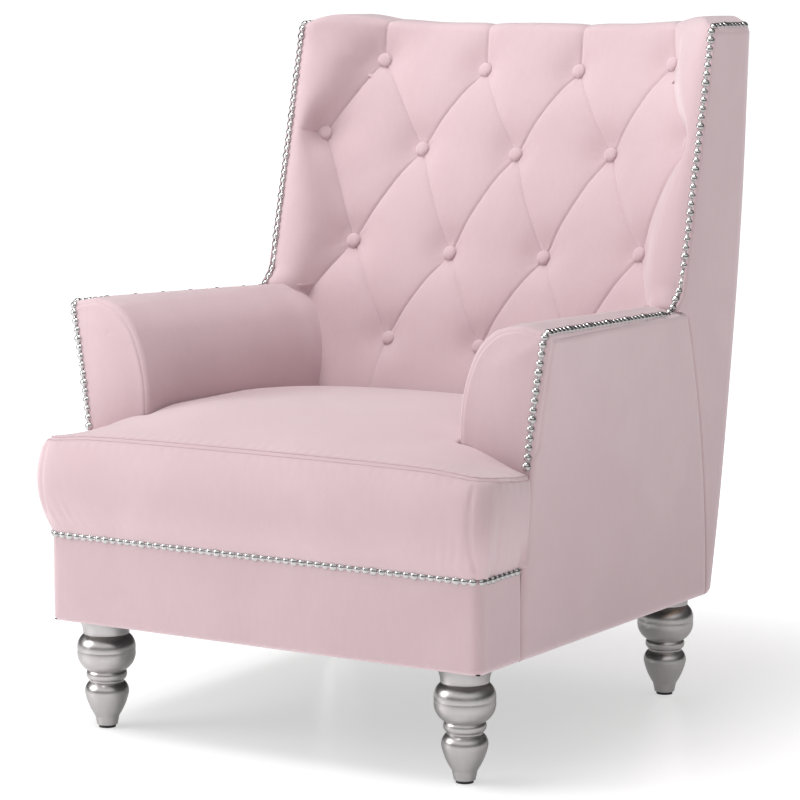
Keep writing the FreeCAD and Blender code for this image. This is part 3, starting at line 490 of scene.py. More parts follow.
def grain_group():
    """Long or even grain between two colours, for timber, board, metal and plastic."""
    if "surface_grain" in bpy.data.node_groups:
        return bpy.data.node_groups["surface_grain"]
    tree, given, where = group_tree(
        "surface_grain",
        [("Light", COLOUR, (0.7, 0.7, 0.7, 1)), ("Dark", COLOUR, (0.5, 0.5, 0.5, 1)),
         ("Scale", FLOAT, 20.0), ("Smooth", FLOAT, 0.3), ("Rough", FLOAT, 0.5)])
    stretch = wire(tree, "ShaderNodeMapping", {
        "Vector": where, "Scale": (1.0, 1.0, 0.25)}, (-800, 0))
    broad = wire(tree, "ShaderNodeTexNoise", {
        "Vector": stretch.outputs[0], "Scale": given["Scale"], "Detail": 5.0,
        "Distortion": 0.8}, (-600, 200))
    finer = wire(tree, "ShaderNodeMath", {0: given["Scale"], 1: 14.0}, (-800, -300),
                 operation="MULTIPLY")
    fine = wire(tree, "ShaderNodeTexNoise", {
        "Vector": stretch.outputs[0], "Scale": finer.outputs[0], "Detail": 3.0}, (-600, -200))
    both = wire(tree, "ShaderNodeMath", {
        0: fine.outputs["Fac"], 1: 0.4, 2: broad.outputs["Fac"]}, (-400, 0),
        operation="MULTIPLY_ADD")
    spread = wire(tree, "ShaderNodeMapRange", {
        "Value": both.outputs[0], "From Min": 0.45, "From Max": 0.95}, (-200, 0))
    colour = wire(tree, "ShaderNodeMix", place=(0, 200), data_type="RGBA", inputs={
        "Factor": spread.outputs["Result"], FIRST: given["Dark"], SECOND: given["Light"]})
    rough = wire(tree, "ShaderNodeMapRange", {
        "Value": spread.outputs["Result"], "To Min": given["Smooth"],
        "To Max": given["Rough"]}, (0, -200))
    wire(tree, "NodeGroupOutput", {
        "Color": colour.outputs[MIXED], "Roughness": rough.outputs["Result"],
        "Height": fine.outputs["Fac"]}, (200, 0))
    return tree


def weave_group():
    """Plain weave of two threads, for the dust cloth, deck cloth and webbing."""
    if "plain_weave" in bpy.data.node_groups:
        return bpy.data.node_groups["plain_weave"]
    tree, given, where = group_tree(
        "plain_weave",
        [("Light", COLOUR, (0.2, 0.2, 0.2, 1)), ("Dark", COLOUR, (0.05, 0.05, 0.05, 1)),
         ("Threads", FLOAT, 600.0)])
    split = wire(tree, "ShaderNodeSeparateXYZ", {0: where}, (-600, 0))
    waves = []
    for axis in ("X", "Y"):
        step = wire(tree, "ShaderNodeMath", {0: split.outputs[axis], 1: given["Threads"]},
                    (-400, 0), operation="MULTIPLY")
        waves.append(wire(tree, "ShaderNodeMath", {0: step.outputs[0]}, (-200, 0),
                          operation="SINE").outputs[0])
    cross = wire(tree, "ShaderNodeMath", dict(enumerate(waves)), operation="MULTIPLY")
    height = wire(tree, "ShaderNodeMapRange", {"Value": cross.outputs[0], "From Min": -1.0},
                  (200, 0)).outputs["Result"]
    colour = wire(tree, "ShaderNodeMix", place=(400, 0), data_type="RGBA", inputs={
        "Factor": height, FIRST: given["Dark"], SECOND: given["Light"]})
    rough = wire(tree, "ShaderNodeMapRange", {"Value": height, "To Min": 0.7, "To Max": 0.9},
                 (400, -200))
    wire(tree, "NodeGroupOutput", {
        "Color": colour.outputs[MIXED], "Roughness": rough.outputs["Result"],
        "Height": height}, (600, 0))
    return tree


def finish(name, group, values, bump, constants):
    """A material whose colour, roughness and bump come from a group set to its own values."""
    if name in bpy.data.materials:
        return bpy.data.materials[name]
    material = bpy.data.materials.new(name)
    material.use_nodes = True
    tree = material.node_tree
    shader = tree.nodes["Principled BSDF"]
    effect = wire(tree, "ShaderNodeGroup", place=(-400, 0), node_tree=group())
    for socket, value in zip(effect.inputs, values):
        socket.default_value = value if np.isscalar(value) else (*value, 1)
    relief = wire(tree, "ShaderNodeBump", {
        "Strength": bump[0], "Distance": bump[1], "Height": effect.outputs["Height"]},
        (-200, -300))
    tree.links.new(effect.outputs["Color"], shader.inputs["Base Color"])
    tree.links.new(effect.outputs["Roughness"], shader.inputs["Roughness"])
    tree.links.new(relief.outputs["Normal"], shader.inputs["Normal"])
    for label, value in constants.items():
        shader.inputs[label].default_value = value
    return material


def velvet():
    chosen = bpy.context.scene.armchair_velvet
    return finish("pink_velvet", nap_group, (chosen.pile[:], chosen.brushed[:],
                                             chosen.patch_scale, 1.0), (0.35, 0.0004),
                  {"Specular IOR Level": 0.12, "Sheen Weight": 0.7, "Sheen Roughness": 0.5,
                   "Sheen Tint": (1.0, 0.96, 0.975, 1)})


# The group of each finish, the values of the group's sockets in their order, the strength and
# distance of its bump, and the constants of its shader.
FINISHES = {
    "pink_thread": (
        nap_group, ((0.42, 0.26, 0.29), (0.52, 0.35, 0.38), 60.0, 1.0), (0.3, 0.0003),
        {"Specular IOR Level": 0.4, "Sheen Weight": 0.2}),
    "polished_nail": (
        grain_group, ((0.66, 0.65, 0.64), (0.56, 0.55, 0.55), 160.0, 0.1, 0.18),
        (0.05, 0.0002), {"Metallic": 1.0}),
    "satin_silver_paint": (
        grain_group, ((0.6, 0.575, 0.57), (0.57, 0.545, 0.54), 90.0, 0.28, 0.33),
        (0.1, 0.0004), {"Metallic": 0.95}),
    "bare_timber": (
        grain_group, ((0.62, 0.44, 0.26), (0.4, 0.26, 0.14), 24.0, 0.5, 0.75),
        (0.3, 0.0008), {"Specular IOR Level": 0.3}),
    "pressed_board": (
        grain_group, ((0.36, 0.25, 0.15), (0.24, 0.16, 0.09), 90.0, 0.7, 0.9),
        (0.3, 0.0005), {"Specular IOR Level": 0.2}),
    "cut_foam": (
        grain_group, ((0.85, 0.8, 0.66), (0.72, 0.66, 0.5), 180.0, 0.85, 0.98),
        (0.5, 0.001), {"Specular IOR Level": 0.1}),
    "moulded_nylon": (
        grain_group, ((0.035, 0.035, 0.035), (0.015, 0.015, 0.015), 220.0, 0.4, 0.6),
        (0.15, 0.0003), {}),
    "drawn_wire": (
        grain_group, ((0.42, 0.42, 0.44), (0.24, 0.24, 0.26), 120.0, 0.25, 0.5),
        (0.1, 0.0003), {"Metallic": 1.0}),
    "zinc_plating": (
        grain_group, ((0.72, 0.72, 0.73), (0.5, 0.51, 0.53), 140.0, 0.25, 0.45),
        (0.1, 0.0003), {"Metallic": 1.0}),
    "black_dust_cloth": (
        weave_group, ((0.03, 0.03, 0.032), (0.008, 0.008, 0.008), 2600.0), (0.4, 0.0004),
        {"Specular IOR Level": 0.2}),
    "woven_webbing": (
        weave_group, ((0.2, 0.18, 0.16), (0.06, 0.05, 0.05), 1800.0), (0.5, 0.0006),
        {"Specular IOR Level": 0.2}),
}


def made(kind):
    return finish(kind, *FINISHES[kind])


FRAME_FINISHES = (
    ("bare_timber", ("front_rail", "rear_rail", "side_rail", "corner_block", "back_post",
                     "wing_board", "back_lumbar_rail", "back_top_rail", "arm_stump", "arm_rail")),
    ("pressed_board", ("arm_liner",)),
    ("cut_foam", ("seat_foam", "arm_pad", "inside_back_pad")),
    ("black_dust_cloth", ("dust_cover",)),
    ("woven_webbing", ("back_webbing", "seat_deck_cloth")),
    ("drawn_wire", ("seat_springs", "spring_clips")),
    ("zinc_plating", ("hanger_bolts", "tee_nuts")),
    ("moulded_nylon", ("leg_glides",)),
    ("satin_silver_paint", ("leg_front", "leg_rear")),
    ("polished_nail", ("nail_trim",)),
)


def finish_of(name):
    """The finish of a frame node, from the start of its name."""
    for kind, starts in FRAME_FINISHES:
        if name.startswith(starts):
            return made(kind)
    return velvet()


# ---------------------------------------------------------------- inside back


def button_rows():
    """Buttons of the frame as rows of (x, z), from the top row down."""
    centres = [group.mean(axis=0) for group in islands("back_buttons")]
    rows = []
    for centre in sorted(centres, key=lambda c: -c[2]):
        if rows and abs(rows[-1][0][1] - centre[2]) < 0.03:
            rows[-1].append((centre[0], centre[2]))
        else:
            rows.append([(centre[0], centre[2])])
    return [sorted(row) for row in rows]


def pleat_lines(rows):
    """Pleats as (start, end, strength at the end), by x and height along the fabric."""
    lines = []
    for upper, lower in zip(rows, rows[1:]):
        for a in upper:
            for b in lower:
                if 0.03 < abs(a[0] - b[0]) < 0.12:
                    lines.append((a, b, 1.0))
    for x, z in rows[0]:
        lines.append(((x, z), (x * 1.04, BACK_TOP + 0.09), 0.3))
    for row, reach, fall in ((rows[1], WING_HALF, -0.004), (rows[2], 0.31, 0.13)):
        for x, z in (row[0], row[-1]):
            lines.append(((x, z), (math.copysign(reach, x), z - fall), 0.1))
    for x, z in rows[-1]:
        lines.append(((x, z), (x * 1.02, PAD_FOOT), 0.3))
    return lines


class Tufting:
    """Depth of the buttoned padding at points given by x and height along the fabric."""

    def __init__(self, settings):
        self.settings = settings
        self.rows = button_rows()
        self.lines = pleat_lines(self.rows)
        self.buttons = [place for row in self.rows for place in row]
        outer = [(row[-1][1], row[-1][0]) for row in self.rows[:3]]
        self.outer_z = [PAD_FOOT, PAD_FOOT + 0.09] + [z for z, _ in reversed(outer)]
        self.outer_z.append(BACK_TOP + 0.02)
        self.outer_x = [0.31, 0.30] + [x for _, x in reversed(outer)] + [0.246]

    def reach(self, x, h):
        """Distance to the nearest pleat."""
        near = np.full_like(x, 1.0)
        for (ax, az), (bx, bz), _ in self.lines:
            dx, dz = bx - ax, bz - az
            t = np.clip(((x - ax) * dx + (h - az) * dz) / (dx * dx + dz * dz), 0, 1)
            near = np.minimum(near, np.hypot(x - ax - dx * t, h - az - dz * t))
        return near

    def lift(self, x, h):
        """How far the fabric stands off the crown of the padding."""
        chosen = self.settings
        keep = np.ones_like(x)
        fold = np.zeros_like(x)
        middle = chosen.pleat_depth / chosen.button_depth
        for (ax, az), (bx, bz), end in self.lines:
            dx, dz = bx - ax, bz - az
            length = math.hypot(dx, dz)
            t = np.clip(((x - ax) * dx + (h - az) * dz) / length ** 2, 0, 1)
            off = ((x - ax) * dz - (h - az) * dx) / length
            away = np.hypot(x - ax - dx * t, h - az - dz * t)
            if end == 1.0:
                strength = middle + (0.84 - middle) * np.abs(2 * t - 1) ** 3.2
            else:
                strength = middle * (1 - t + end * t) + (0.84 - middle) * (1 - t) ** 4
            keep *= 1 - strength * np.exp(-away / (chosen.pleat_width * (1 if end == 1.0 else 0.8)))
            crisp = np.minimum(1, 6 * np.minimum(t * length, (1 - t) * length + (end < 1) * 0.05)
                               / 0.05) * (1 if end == 1.0 else 1 - t * 0.7)
            under = np.sign(off) * np.sign(dx if abs(dx) > 0.01 else 1)
            fold -= crisp * (chosen.groove * np.exp(-away / 0.0017)
                             + chosen.fold * under * np.exp(-away / 0.007))
        for bx, bz in self.buttons:
            away = np.hypot(x - bx, h - bz)
            keep *= 1 - np.exp(-(away / chosen.dimple) ** 1.3)
            spoke = np.sin(11 * np.arctan2(h - bz, x - bx) + bx * 90 + bz * 50)
            fold += 0.0004 * spoke * np.exp(-((away - 0.017) / 0.008) ** 2)
        wing = smoothstep(0.300, 0.326, np.abs(x))
        top = 1 - smoothstep(BACK_TOP + 0.05, BACK_TOP + 0.11, h)
        depth = chosen.button_depth * (1 - keep) * (1 - 0.82 * wing) * (0.25 + 0.75 * top)
        lift = fold * top * (1 - 0.5 * wing) - depth
        inner = np.interp(h, self.outer_z, self.outer_x)
        width = 0.333 - inner
        share = np.clip((np.abs(x) - inner) / width, 0, 1)
        roll = chosen.wing_roll * np.sqrt(width / 0.1) * np.sin(np.pi * share ** 1.4)
        return lift + roll * (0.35 + 0.65 * keep) * (1 - 0.75 * smoothstep(
            BACK_TOP - 0.045, BACK_TOP + 0.03, h))


CORNER_SEAM = 0.019
ROLL = 0.021
REAR_ROLL = 0.012
EDGE = 0.006


def back_surface(u, v):
    """Points of the untufted inside back.

    u runs across the fabric, past the rolled outer edges.  v runs up: 0 to 1 is the front, 1 to 2
    the roll over the top, 2 to 3 the top, 3 to 4 the rear edge and 4 to 5 its hidden tail.
    Returns the points, the height along the fabric and the drop of the outer edge.
    """
    flat = WING_HALF - EDGE
    turn = np.clip((np.abs(u) - flat) / EDGE, 0, math.pi / 2)
    beyond = np.maximum(np.abs(u) - flat - EDGE * math.pi / 2, 0)
    x = np.sign(u) * (np.minimum(np.abs(u), flat) + EDGE * np.sin(turn))
    drop = EDGE * (1 - np.cos(turn)) + beyond
    wide = np.abs(x)
    share = np.clip(wide / INSIDE_HALF, 0, 1) ** BARREL_POWER
    lean = np.arctan(PAD_RAKE + (WING_RAKE - PAD_RAKE) * share)
    crest = BACK_TOP + 0.013 + 0.008 * smoothstep(0.14, 0.29, wide) - 0.009 * smoothstep(
        0.305, 0.345, wide)
    roll = ROLL - 0.008 * smoothstep(0.30, 0.335, wide)
    start = crest - roll * (1 - np.sin(lean))

    z = PAD_FOOT + (start - PAD_FOOT) * np.clip(v, 0, 1)
    low = 1 - smoothstep(WING_FOOT - 0.022, WING_FOOT - 0.004, z)
    x = x * (1 - 0.03 * low)
    soft = 0.004
    y = soft * np.logaddexp(barrel_y(x, z) / soft, (wing_y(z) + 0.002) / soft)
    y = y - foot_sweep(z) * (1 - low) * smoothstep(0.29, 0.33, wide)
    y = y + 0.035 * low * smoothstep(0.312, 0.33, wide)
    height = z.copy()

    turned = (math.pi / 2 - lean) * np.clip(v - 1, 0, 1)
    y = y + roll * (np.cos(lean) - np.cos(lean + turned))
    z = z + roll * (np.sin(lean + turned) - np.sin(lean))
    height = height + roll * turned

    inset = np.maximum(wide - (WING_HALF - CORNER_RADIUS), 0)
    rear = TOP_REAR - CORNER_RADIUS + np.sqrt(np.maximum(CORNER_RADIUS ** 2 - inset ** 2, 0))
    run = np.maximum(rear - 0.001 - REAR_ROLL - y, 0.0) * np.clip(v - 2, 0, 1)
    y = y + run
    height = height + run
    bend = math.pi / 2 * np.clip(v - 3, 0, 1)
    y = y + REAR_ROLL * np.sin(bend)
    z = z - REAR_ROLL * (1 - np.cos(bend)) - 0.01 * np.clip(v - 4, 0, 1)
    height = height + REAR_ROLL * bend
    return np.stack([x, y, z], axis=-1), height, drop


def back_normals(u, v):
    small = 2e-4
    along = back_surface(u, v + small)[0] - back_surface(u, v - small)[0]
    across = back_surface(u + small, v)[0] - back_surface(u - small, v)[0]
    flat = np.abs(across[:, 0]) < 1e-7
    across[flat] = (1.0, 0.0, 0.0)
    normal = np.cross(across, along)
    return normal / np.maximum(np.linalg.norm(normal, axis=1, keepdims=True), 1e-12)


def back_sheet(tufting, spacing):
    """Flat mesh of the fabric in (u, v), finer along the pleats and round the buttons."""
    flat = WING_HALF - EDGE
    across = np.linspace(-flat, flat, int(2 * flat / spacing) + 1)
    edge = flat + EDGE * np.linspace(0, math.pi / 2, 5)[1:]
    edge = np.append(edge, edge[-1] + 0.009)
    across = np.concatenate([-edge[::-1], across, edge])
    up = np.concatenate([
        np.linspace(0, 1, int((BACK_TOP - PAD_FOOT) / spacing) + 1), np.linspace(1, 2, 9)[1:],
        np.linspace(2, 3, 19)[1:], np.linspace(3, 4, 6)[1:], [5.0]])
    vertices = [(u, v, 0) for v in up for u in across]
    sheet = bmesh.new()
    made = [sheet.verts.new(place) for place in vertices]
    for face in grid_faces(len(up), len(across)):
        sheet.faces.new([made[k] for k in face])
    for reach in (0.0075, 0.0036):
        edges = list(sheet.edges)
        ends = np.array([[edge.verts[0].co[0], edge.verts[0].co[1], edge.verts[1].co[0],
                          edge.verts[1].co[1]] for edge in edges])
        u, v = (ends[:, 0] + ends[:, 2]) / 2, (ends[:, 1] + ends[:, 3]) / 2
        place, height, _ = back_surface(u, v)
        near = tufting.reach(place[:, 0], height) < reach
        near &= (np.abs(u) < flat - 0.004) & (height > PAD_FOOT + 0.02) & (v < 2.9)
        chosen = [edge for edge, pick in zip(edges, near) if pick]
        bmesh.ops.subdivide_edges(sheet, edges=chosen, cuts=1, use_grid_fill=True)
    bmesh.ops.triangulate(sheet, faces=[face for face in sheet.faces if len(face.verts) > 4])
    return sheet


def make_inside_back(settings):
    """Buttoned cover of the inside back and wings, taken over the top edge, as one closed form."""
    tufting = Tufting(settings)
    sheet = back_sheet(tufting, settings.spacing * (1))
    vertices = list(sheet.verts)
    u = np.array([vertex.co[0] for vertex in vertices])
    v = np.array([vertex.co[1] for vertex in vertices])
    points, height, drop = back_surface(u, v)
    normals = back_normals(u, v)
    lift = tufting.lift(points[:, 0], height)
    lift += 0.0006 * ripple(points[None], 8.0)[0]
    lift *= 1 - smoothstep(WING_HALF - 0.018, WING_HALF - EDGE, np.abs(points[:, 0]))
    lift *= 1 - smoothstep(3.0, 3.6, v)
    inward = normals * (0, 1, 1)
    inward /= np.maximum(np.linalg.norm(inward, axis=1, keepdims=True), 1e-9)
    placed = points + normals * lift[:, None] - inward * drop[:, None]
    for vertex, place in zip(vertices, placed):
        vertex.co = place
    rim = [edge for edge in sheet.edges if edge.is_boundary]
    sides = {vertex: (abs(u[k]) > WING_HALF, v[k]) for k, vertex in enumerate(vertices)}
    rings = [{vertex: vertex for edge in rim for vertex in edge.verts}]
    centre = Vector((0, web_plane_y(0.7), 0.7))
    for step in range(2):
        fresh = {}
        for vertex, last in rings[-1].items():
            side, level = sides[vertex]
            place = last.co.copy()
            if step:
                middle = Vector((place.x * 0.5, 0, 0.7 + (place.z - 0.7) * 0.5))
                middle.y = web_plane_y(middle.z)
                place = middle
            elif level > 1.5:
                place += Vector((-0.012 * place.x / WING_HALF, -0.006 if level > 4 else 0, -0.012))
            else:
                place += Vector((-0.012 * place.x / WING_HALF if side else 0, 0.022, 0))
            fresh[vertex] = sheet.verts.new(place)
        for edge in rim:
            a, b = edge.verts
            sheet.faces.new((rings[-1][a], rings[-1][b], fresh[b], fresh[a]))
        rings.append(fresh)
    tip = sheet.verts.new(centre)
    for edge in rim:
        a, b = edge.verts
        sheet.faces.new((rings[-1][a], rings[-1][b], tip))
    piece = piece_from_bmesh("inside_back_tufted", sheet, velvet(),
                             ("inside_back_pad", "top_edge_roll"))
    return tufting


def web_plane_y(z):
    """Plane of the webbing behind the padding."""
    return pad_y(z) + 0.045


def make_buttons(settings, tufting):
    """Covered buttons drawn into the padding, each facing out of the curved back."""
    radius = settings.button_radius
    profile = [(1.0, -0.004), (1.02, 0.0), (1.0, 0.0012), (0.93, 0.0025), (0.8, 0.0035),
               (0.6, 0.0044), (0.35, 0.0049), (0.12, 0.0051)]
    count = 32
    vertices, faces = [], []
    for bx, bz in tufting.buttons:
        u, v = np.array([bx]), np.array([(bz - PAD_FOOT) / (BACK_TOP - PAD_FOOT)])
        for _ in range(4):
            place, height, _ = back_surface(u, v)
            v += (bz - height) / (BACK_TOP - PAD_FOOT)
        place, height, _ = back_surface(u, v)
        normal = back_normals(u, v)[0]
        sunk = float(tufting.lift(place[:, 0], height)[0])
        seat = Vector(place[0] + normal * (sunk + 0.0012))
        facing = Vector(normal)
        facing.x *= 0.85
        facing.normalize()
        right = facing.cross(Vector((0, 0, 1))).normalized()
        up = right.cross(facing)
        start = len(vertices)
        for share, lift in profile:
            for step in range(count):
                angle = 2 * math.pi * step / count
                vertices.append(seat + facing * lift + (right * math.cos(angle)
                                                        + up * math.sin(angle)) * radius * share)
        close_dome(faces, start, len(profile), count, len(vertices))
        vertices.append(seat + facing * 0.0052)
    new_piece("back_buttons_covered", [tuple(v) for v in vertices], faces, velvet(),
              ("back_buttons",))


def close_dome(faces, start, rings, count, tip):
    """Faces of a dome made of rings, with its crest at tip and a flat foot."""
    faces += grid_faces(rings, count, start, close_columns=True)
    top = start + (rings - 1) * count
    for step in range(count):
        faces.append((top + step, top + (step + 1) % count, tip))
    faces.append(tuple(range(start + count - 1, start - 1, -1)))


# ---------------------------------------------------------------- seat


def seat_top_z(x, y, front_y, half_front, seam_z):
    """Crowned top of the seat."""
    rear = SEAT_HIGH.y
    run = y - front_y
    rise = 0.034 * smoothstep(0.0, 0.17, run) + 0.006 * smoothstep(0, 0.04, run)
    fall = 0.027 * smoothstep(rear - 0.2, rear + 0.02, y)
    across = 1 - np.minimum(np.abs(x) / half_front, 1.0) ** 2.6
    ear = (0.005 + 0.013 * smoothstep(front_y, ARM_FRONT, y)) * smoothstep(
        SEAT_HALF + 0.012, half_front, np.abs(x))
    return seam_z + (rise - fall) * (0.18 + 0.82 * across) + 0.004 * across - ear


def make_seat(settings):
    """T-shaped seat: a crowned top, a bellied front boxing and sides that go down by the arms."""
    step = settings.spacing
    half_front, half_stem = SEAT_HIGH.x - 0.004, SEAT_HALF - 0.0006
    front_y, rear = BASE_FRONT - 0.002, SEAT_HIGH.y
    shoulder = ARM_FRONT - 0.0012
    radius = 0.034
    seam_z = SEAT_HIGH.z - 0.037
    bottom_z = NAIL_Z + 0.0035

    def ticks(breaks):
        marks = []
        for a, b in zip(breaks, breaks[1:]):
            count = max(1, round((b - a) / step))
            marks += list(np.linspace(a, b, count, endpoint=False))
        return np.array(marks + [breaks[-1]])

    xs = ticks([-half_front, -half_front + radius, -half_stem, half_stem, half_front - radius,
                half_front])
    ys = ticks([front_y, front_y + radius, shoulder, rear])
    grid_x, grid_y = np.meshgrid(xs, ys)
    u = np.clip((np.abs(grid_x) - (half_front - radius)) / radius, 0, 1)
    v = np.clip(((front_y + radius) - grid_y) / radius, 0, 1)
    round_u = u * np.sqrt(1 - v * v / 2)
    round_v = v * np.sqrt(1 - u * u / 2)
    plan_x = np.sign(grid_x) * (np.minimum(np.abs(grid_x), half_front - radius) + radius * round_u)
    plan_y = np.maximum(grid_y, front_y + radius) - radius * round_v
    top = seat_top_z(plan_x, plan_y, front_y, half_front, seam_z)
    solid = bmesh.new()
    keys = {}
    for j in range(len(ys)):
        for i in range(len(xs)):
            if ys[j] > shoulder + 1e-6 and abs(xs[i]) > half_stem + 1e-6:
                continue
            keys[i, j] = solid.verts.new((plan_x[j, i], plan_y[j, i], top[j, i]))
    for j in range(len(ys) - 1):
        for i in range(len(xs) - 1):
            ring = [keys.get(k) for k in ((i, j), (i + 1, j), (i + 1, j + 1), (i, j + 1))]
            if all(ring):
                solid.faces.new(ring)
    border = [edge for edge in solid.edges if edge.is_boundary]
    levels = 15
    belly = 0.021
    ring = {vertex for edge in border for vertex in edge.verts}
    outward = {}
    for edge in border:
        a, b = edge.verts
        run = (b.co - a.co).to_2d()
        side = Vector((run.y, -run.x)).normalized() if run.length else Vector((0, 0))
        face_centre = edge.link_faces[0].calc_center_median().to_2d()
        if side.dot(a.co.to_2d() - face_centre) < 0:
            side = -side
        for vertex in (a, b):
            outward[vertex] = outward.get(vertex, Vector((0, 0))) + side
    below = {vertex: vertex for vertex in ring}
    rows_made = [dict(below)]
    for level in range(1, levels + 1):
        t = level / levels
        fresh = {}
        for vertex in ring:
            base = vertex.co
            side = outward[vertex].normalized() if outward[vertex].length else Vector((0, 0))
            free = 1.0 if base.y < shoulder - 0.001 else 0.0
            puff = belly * math.sin(math.pi * t ** 0.86) ** (0.6 + 0.45 * t)
            sideways = 0.4 + 0.6 * smoothstep(0.3, 0.9, abs(side.y))
            out = side * (puff * sideways * free - 0.001 * (1 - free))
            inward = 0.013 * t * free * (1 - sideways) / 0.6
            out -= side * inward
            z = base.z + (bottom_z - base.z) * t
            fresh[vertex] = solid.verts.new((base.x + out.x, base.y + out.y, z))
        for edge in border:
            a, b = edge.verts
            previous = rows_made[-1]
            solid.faces.new((previous[a], previous[b], fresh[b], fresh[a]))
        rows_made.append(fresh)
    bmesh.ops.recalc_face_normals(solid, faces=solid.faces)
    solid.verts.index_update()
    pinned = [v.index for v in ring]
    pinned += [v.index for row in rows_made[-2:] for v in row.values()]
    pinned += [v.index for row in rows_made for k, v in row.items() if k.co.y > shoulder - 0.02]
    pinned += [v.index for v in solid.verts if v.co.y > shoulder and v.co.z < seam_z - 0.02]
    mesh = bpy.data.meshes.new("seat_tight_cover")
    solid.to_mesh(mesh)
    solid.free()
    mesh.materials.append(velvet())
    piece = bpy.data.objects.new("seat_tight_cover", mesh)
    bpy.context.scene.collection.objects.link(piece)
    fill_cover(piece, sorted(set(pinned)), settings.pressure, settings.swell)
    refine_seat(piece, front_y, half_front, radius, seam_z)
    mesh = piece.data
    mesh.shade_smooth()
    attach(piece, "root")
    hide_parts("seat_cover", "seat_foam")
    return front_seam(front_y, half_front, radius, shoulder, seam_z)


def fill_cover(piece, pinned, pressure, cap):
    """Fills a sewn cover with cloth under pressure, its seams held, and keeps the result."""
    held = piece.vertex_groups.new(name="seams")
    held.add(pinned, 1.0, "REPLACE")
    before = np.array([v.co for v in piece.data.vertices])
    cloth = piece.modifiers.new("filling", "CLOTH")
    cloth.settings.vertex_group_mass = "seams"
    cloth.settings.use_pressure = True
    cloth.settings.uniform_pressure_force = pressure
    cloth.settings.effector_weights.gravity = 0.0
    cloth.settings.quality = 6
    cloth.settings.tension_stiffness = 25
    cloth.settings.compression_stiffness = 25
    cloth.settings.bending_stiffness = 2.5
    cloth.point_cache.frame_start = 1
    cloth.point_cache.frame_end = 20
    scene = bpy.context.scene
    for step in range(1, 21):
        scene.frame_set(step)
    solved = piece.evaluated_get(bpy.context.evaluated_depsgraph_get())
    after = np.array([v.co for v in solved.data.vertices])
    piece.modifiers.remove(cloth)
    piece.vertex_groups.remove(held)
    moved = after - before
    length = np.linalg.norm(moved, axis=1, keepdims=True)
    moved *= np.minimum(1.0, cap / np.maximum(length, 1e-9))
    piece.data.vertices.foreach_set("co", (before + moved).astype(np.float32).ravel())
    piece.data.update()
    scene.frame_set(1)


def front_seam(front_y, half_front, radius, shoulder, seam_z):
    """Plan line of the seat's top seam, from one side round the front to the other."""
    quarter = math.tan(math.pi / 8)
    plan = arc_path([(-half_front, shoulder), (-half_front, front_y + radius, quarter),
                     (-half_front + radius, front_y), (half_front - radius, front_y, quarter),
                     (half_front, front_y + radius), (half_front, shoulder)], 14)
    z = seat_top_z(plan[:, 0], plan[:, 1], front_y, half_front, seam_z)
    return np.column_stack([plan, z])


def refine_seat(piece, front_y, half_front, radius, seam_z):
    """One subdivision, then the seam groove, its puckers and the gathers above the nail row."""
    subdivide = piece.modifiers.new("smooth", "SUBSURF")
    subdivide.levels = subdivide.render_levels = 1
    bpy.context.view_layer.update()
    solved = piece.evaluated_get(bpy.context.evaluated_depsgraph_get())
    mesh = bpy.data.meshes.new_from_object(solved)
    mesh.name = "seat_tight_cover"
    piece.modifiers.remove(subdivide)
    piece.data = mesh
    seam = front_seam(front_y, half_front, radius, ARM_FRONT, seam_z)
    fine = resample(seam, 900)
    lengths = np.concatenate([[0], np.cumsum(np.linalg.norm(np.diff(fine, axis=0), axis=1))])
    places = mesh_places(mesh)
    normals = mesh_normals(mesh)
    near = np.where((places[:, 1] < ARM_FRONT + 0.02) & (places[:, 2] > SEAT_LOW.z))[0]
    tree = nearest_points(fine)
    moved = places.copy()
    for index in near:
        point = places[index]
        _, which, gap = tree.find(Vector(point))
        if gap > 0.09:
            continue
        along = lengths[which]
        drift = 2.2 * noise.noise(Vector((along * 22, 0, 1)))
        pucker = math.sin(along * 2 * math.pi / PUCKER_PITCH + drift)
        low = max(0.0, 1 - abs(gap - 0.009) / 0.014)
        lift = -0.0026 * math.exp(-(gap / 0.0032) ** 2) + 0.0004 * pucker * low
        moved[index] = point + normals[index] * lift
    foot = SEAT_LOW.z
    corner = half_front - 0.02
    for index in near:
        x, y, z = places[index]
        level = (z - foot) / 0.06
        if level > 1.4 or level < 0.02:
            continue
        side = math.exp(-((abs(x) - corner) / 0.06) ** 2) if y < front_y + 0.05 else 0.4
        run = x + (y - front_y) * math.copysign(1, x)
        drift = 1.8 * noise.noise(Vector((run * 40, z * 12, 4)))
        fold = math.sin(run * 2 * math.pi / GATHER_PITCH + drift)
        lift = 0.0005 * fold * side * math.exp(-((level - 0.25) / 0.4) ** 2)
        moved[index] += normals[index] * lift
    for index in near:
        x, y, z = places[index]
        if y < front_y + 0.02 and z < seam_z - 0.006:
            off = abs(x) - (half_front - CORNER_SEAM)
            fade = min(1.0, (seam_z - 0.006 - z) / 0.01)
            moved[index] -= normals[index] * 0.0019 * fade * math.exp(-(off / 0.0022) ** 2)
    mesh.vertices.foreach_set("co", moved.astype(np.float32).ravel())
    closed = bmesh.new()
    closed.from_mesh(mesh)
    middle = closed.verts.new((0, 0, foot))
    for edge in [edge for edge in closed.edges if edge.is_boundary]:
        closed.faces.new((*edge.verts, middle))
    bmesh.ops.recalc_face_normals(closed, faces=closed.faces)
    closed.to_mesh(mesh)
    closed.free()


def nearest_points(points):
    """Nearest-point lookup."""
    tree = kdtree.KDTree(len(points))
    for index, point in enumerate(points):
        tree.insert(Vector(point), index)
    tree.balance()
    return tree


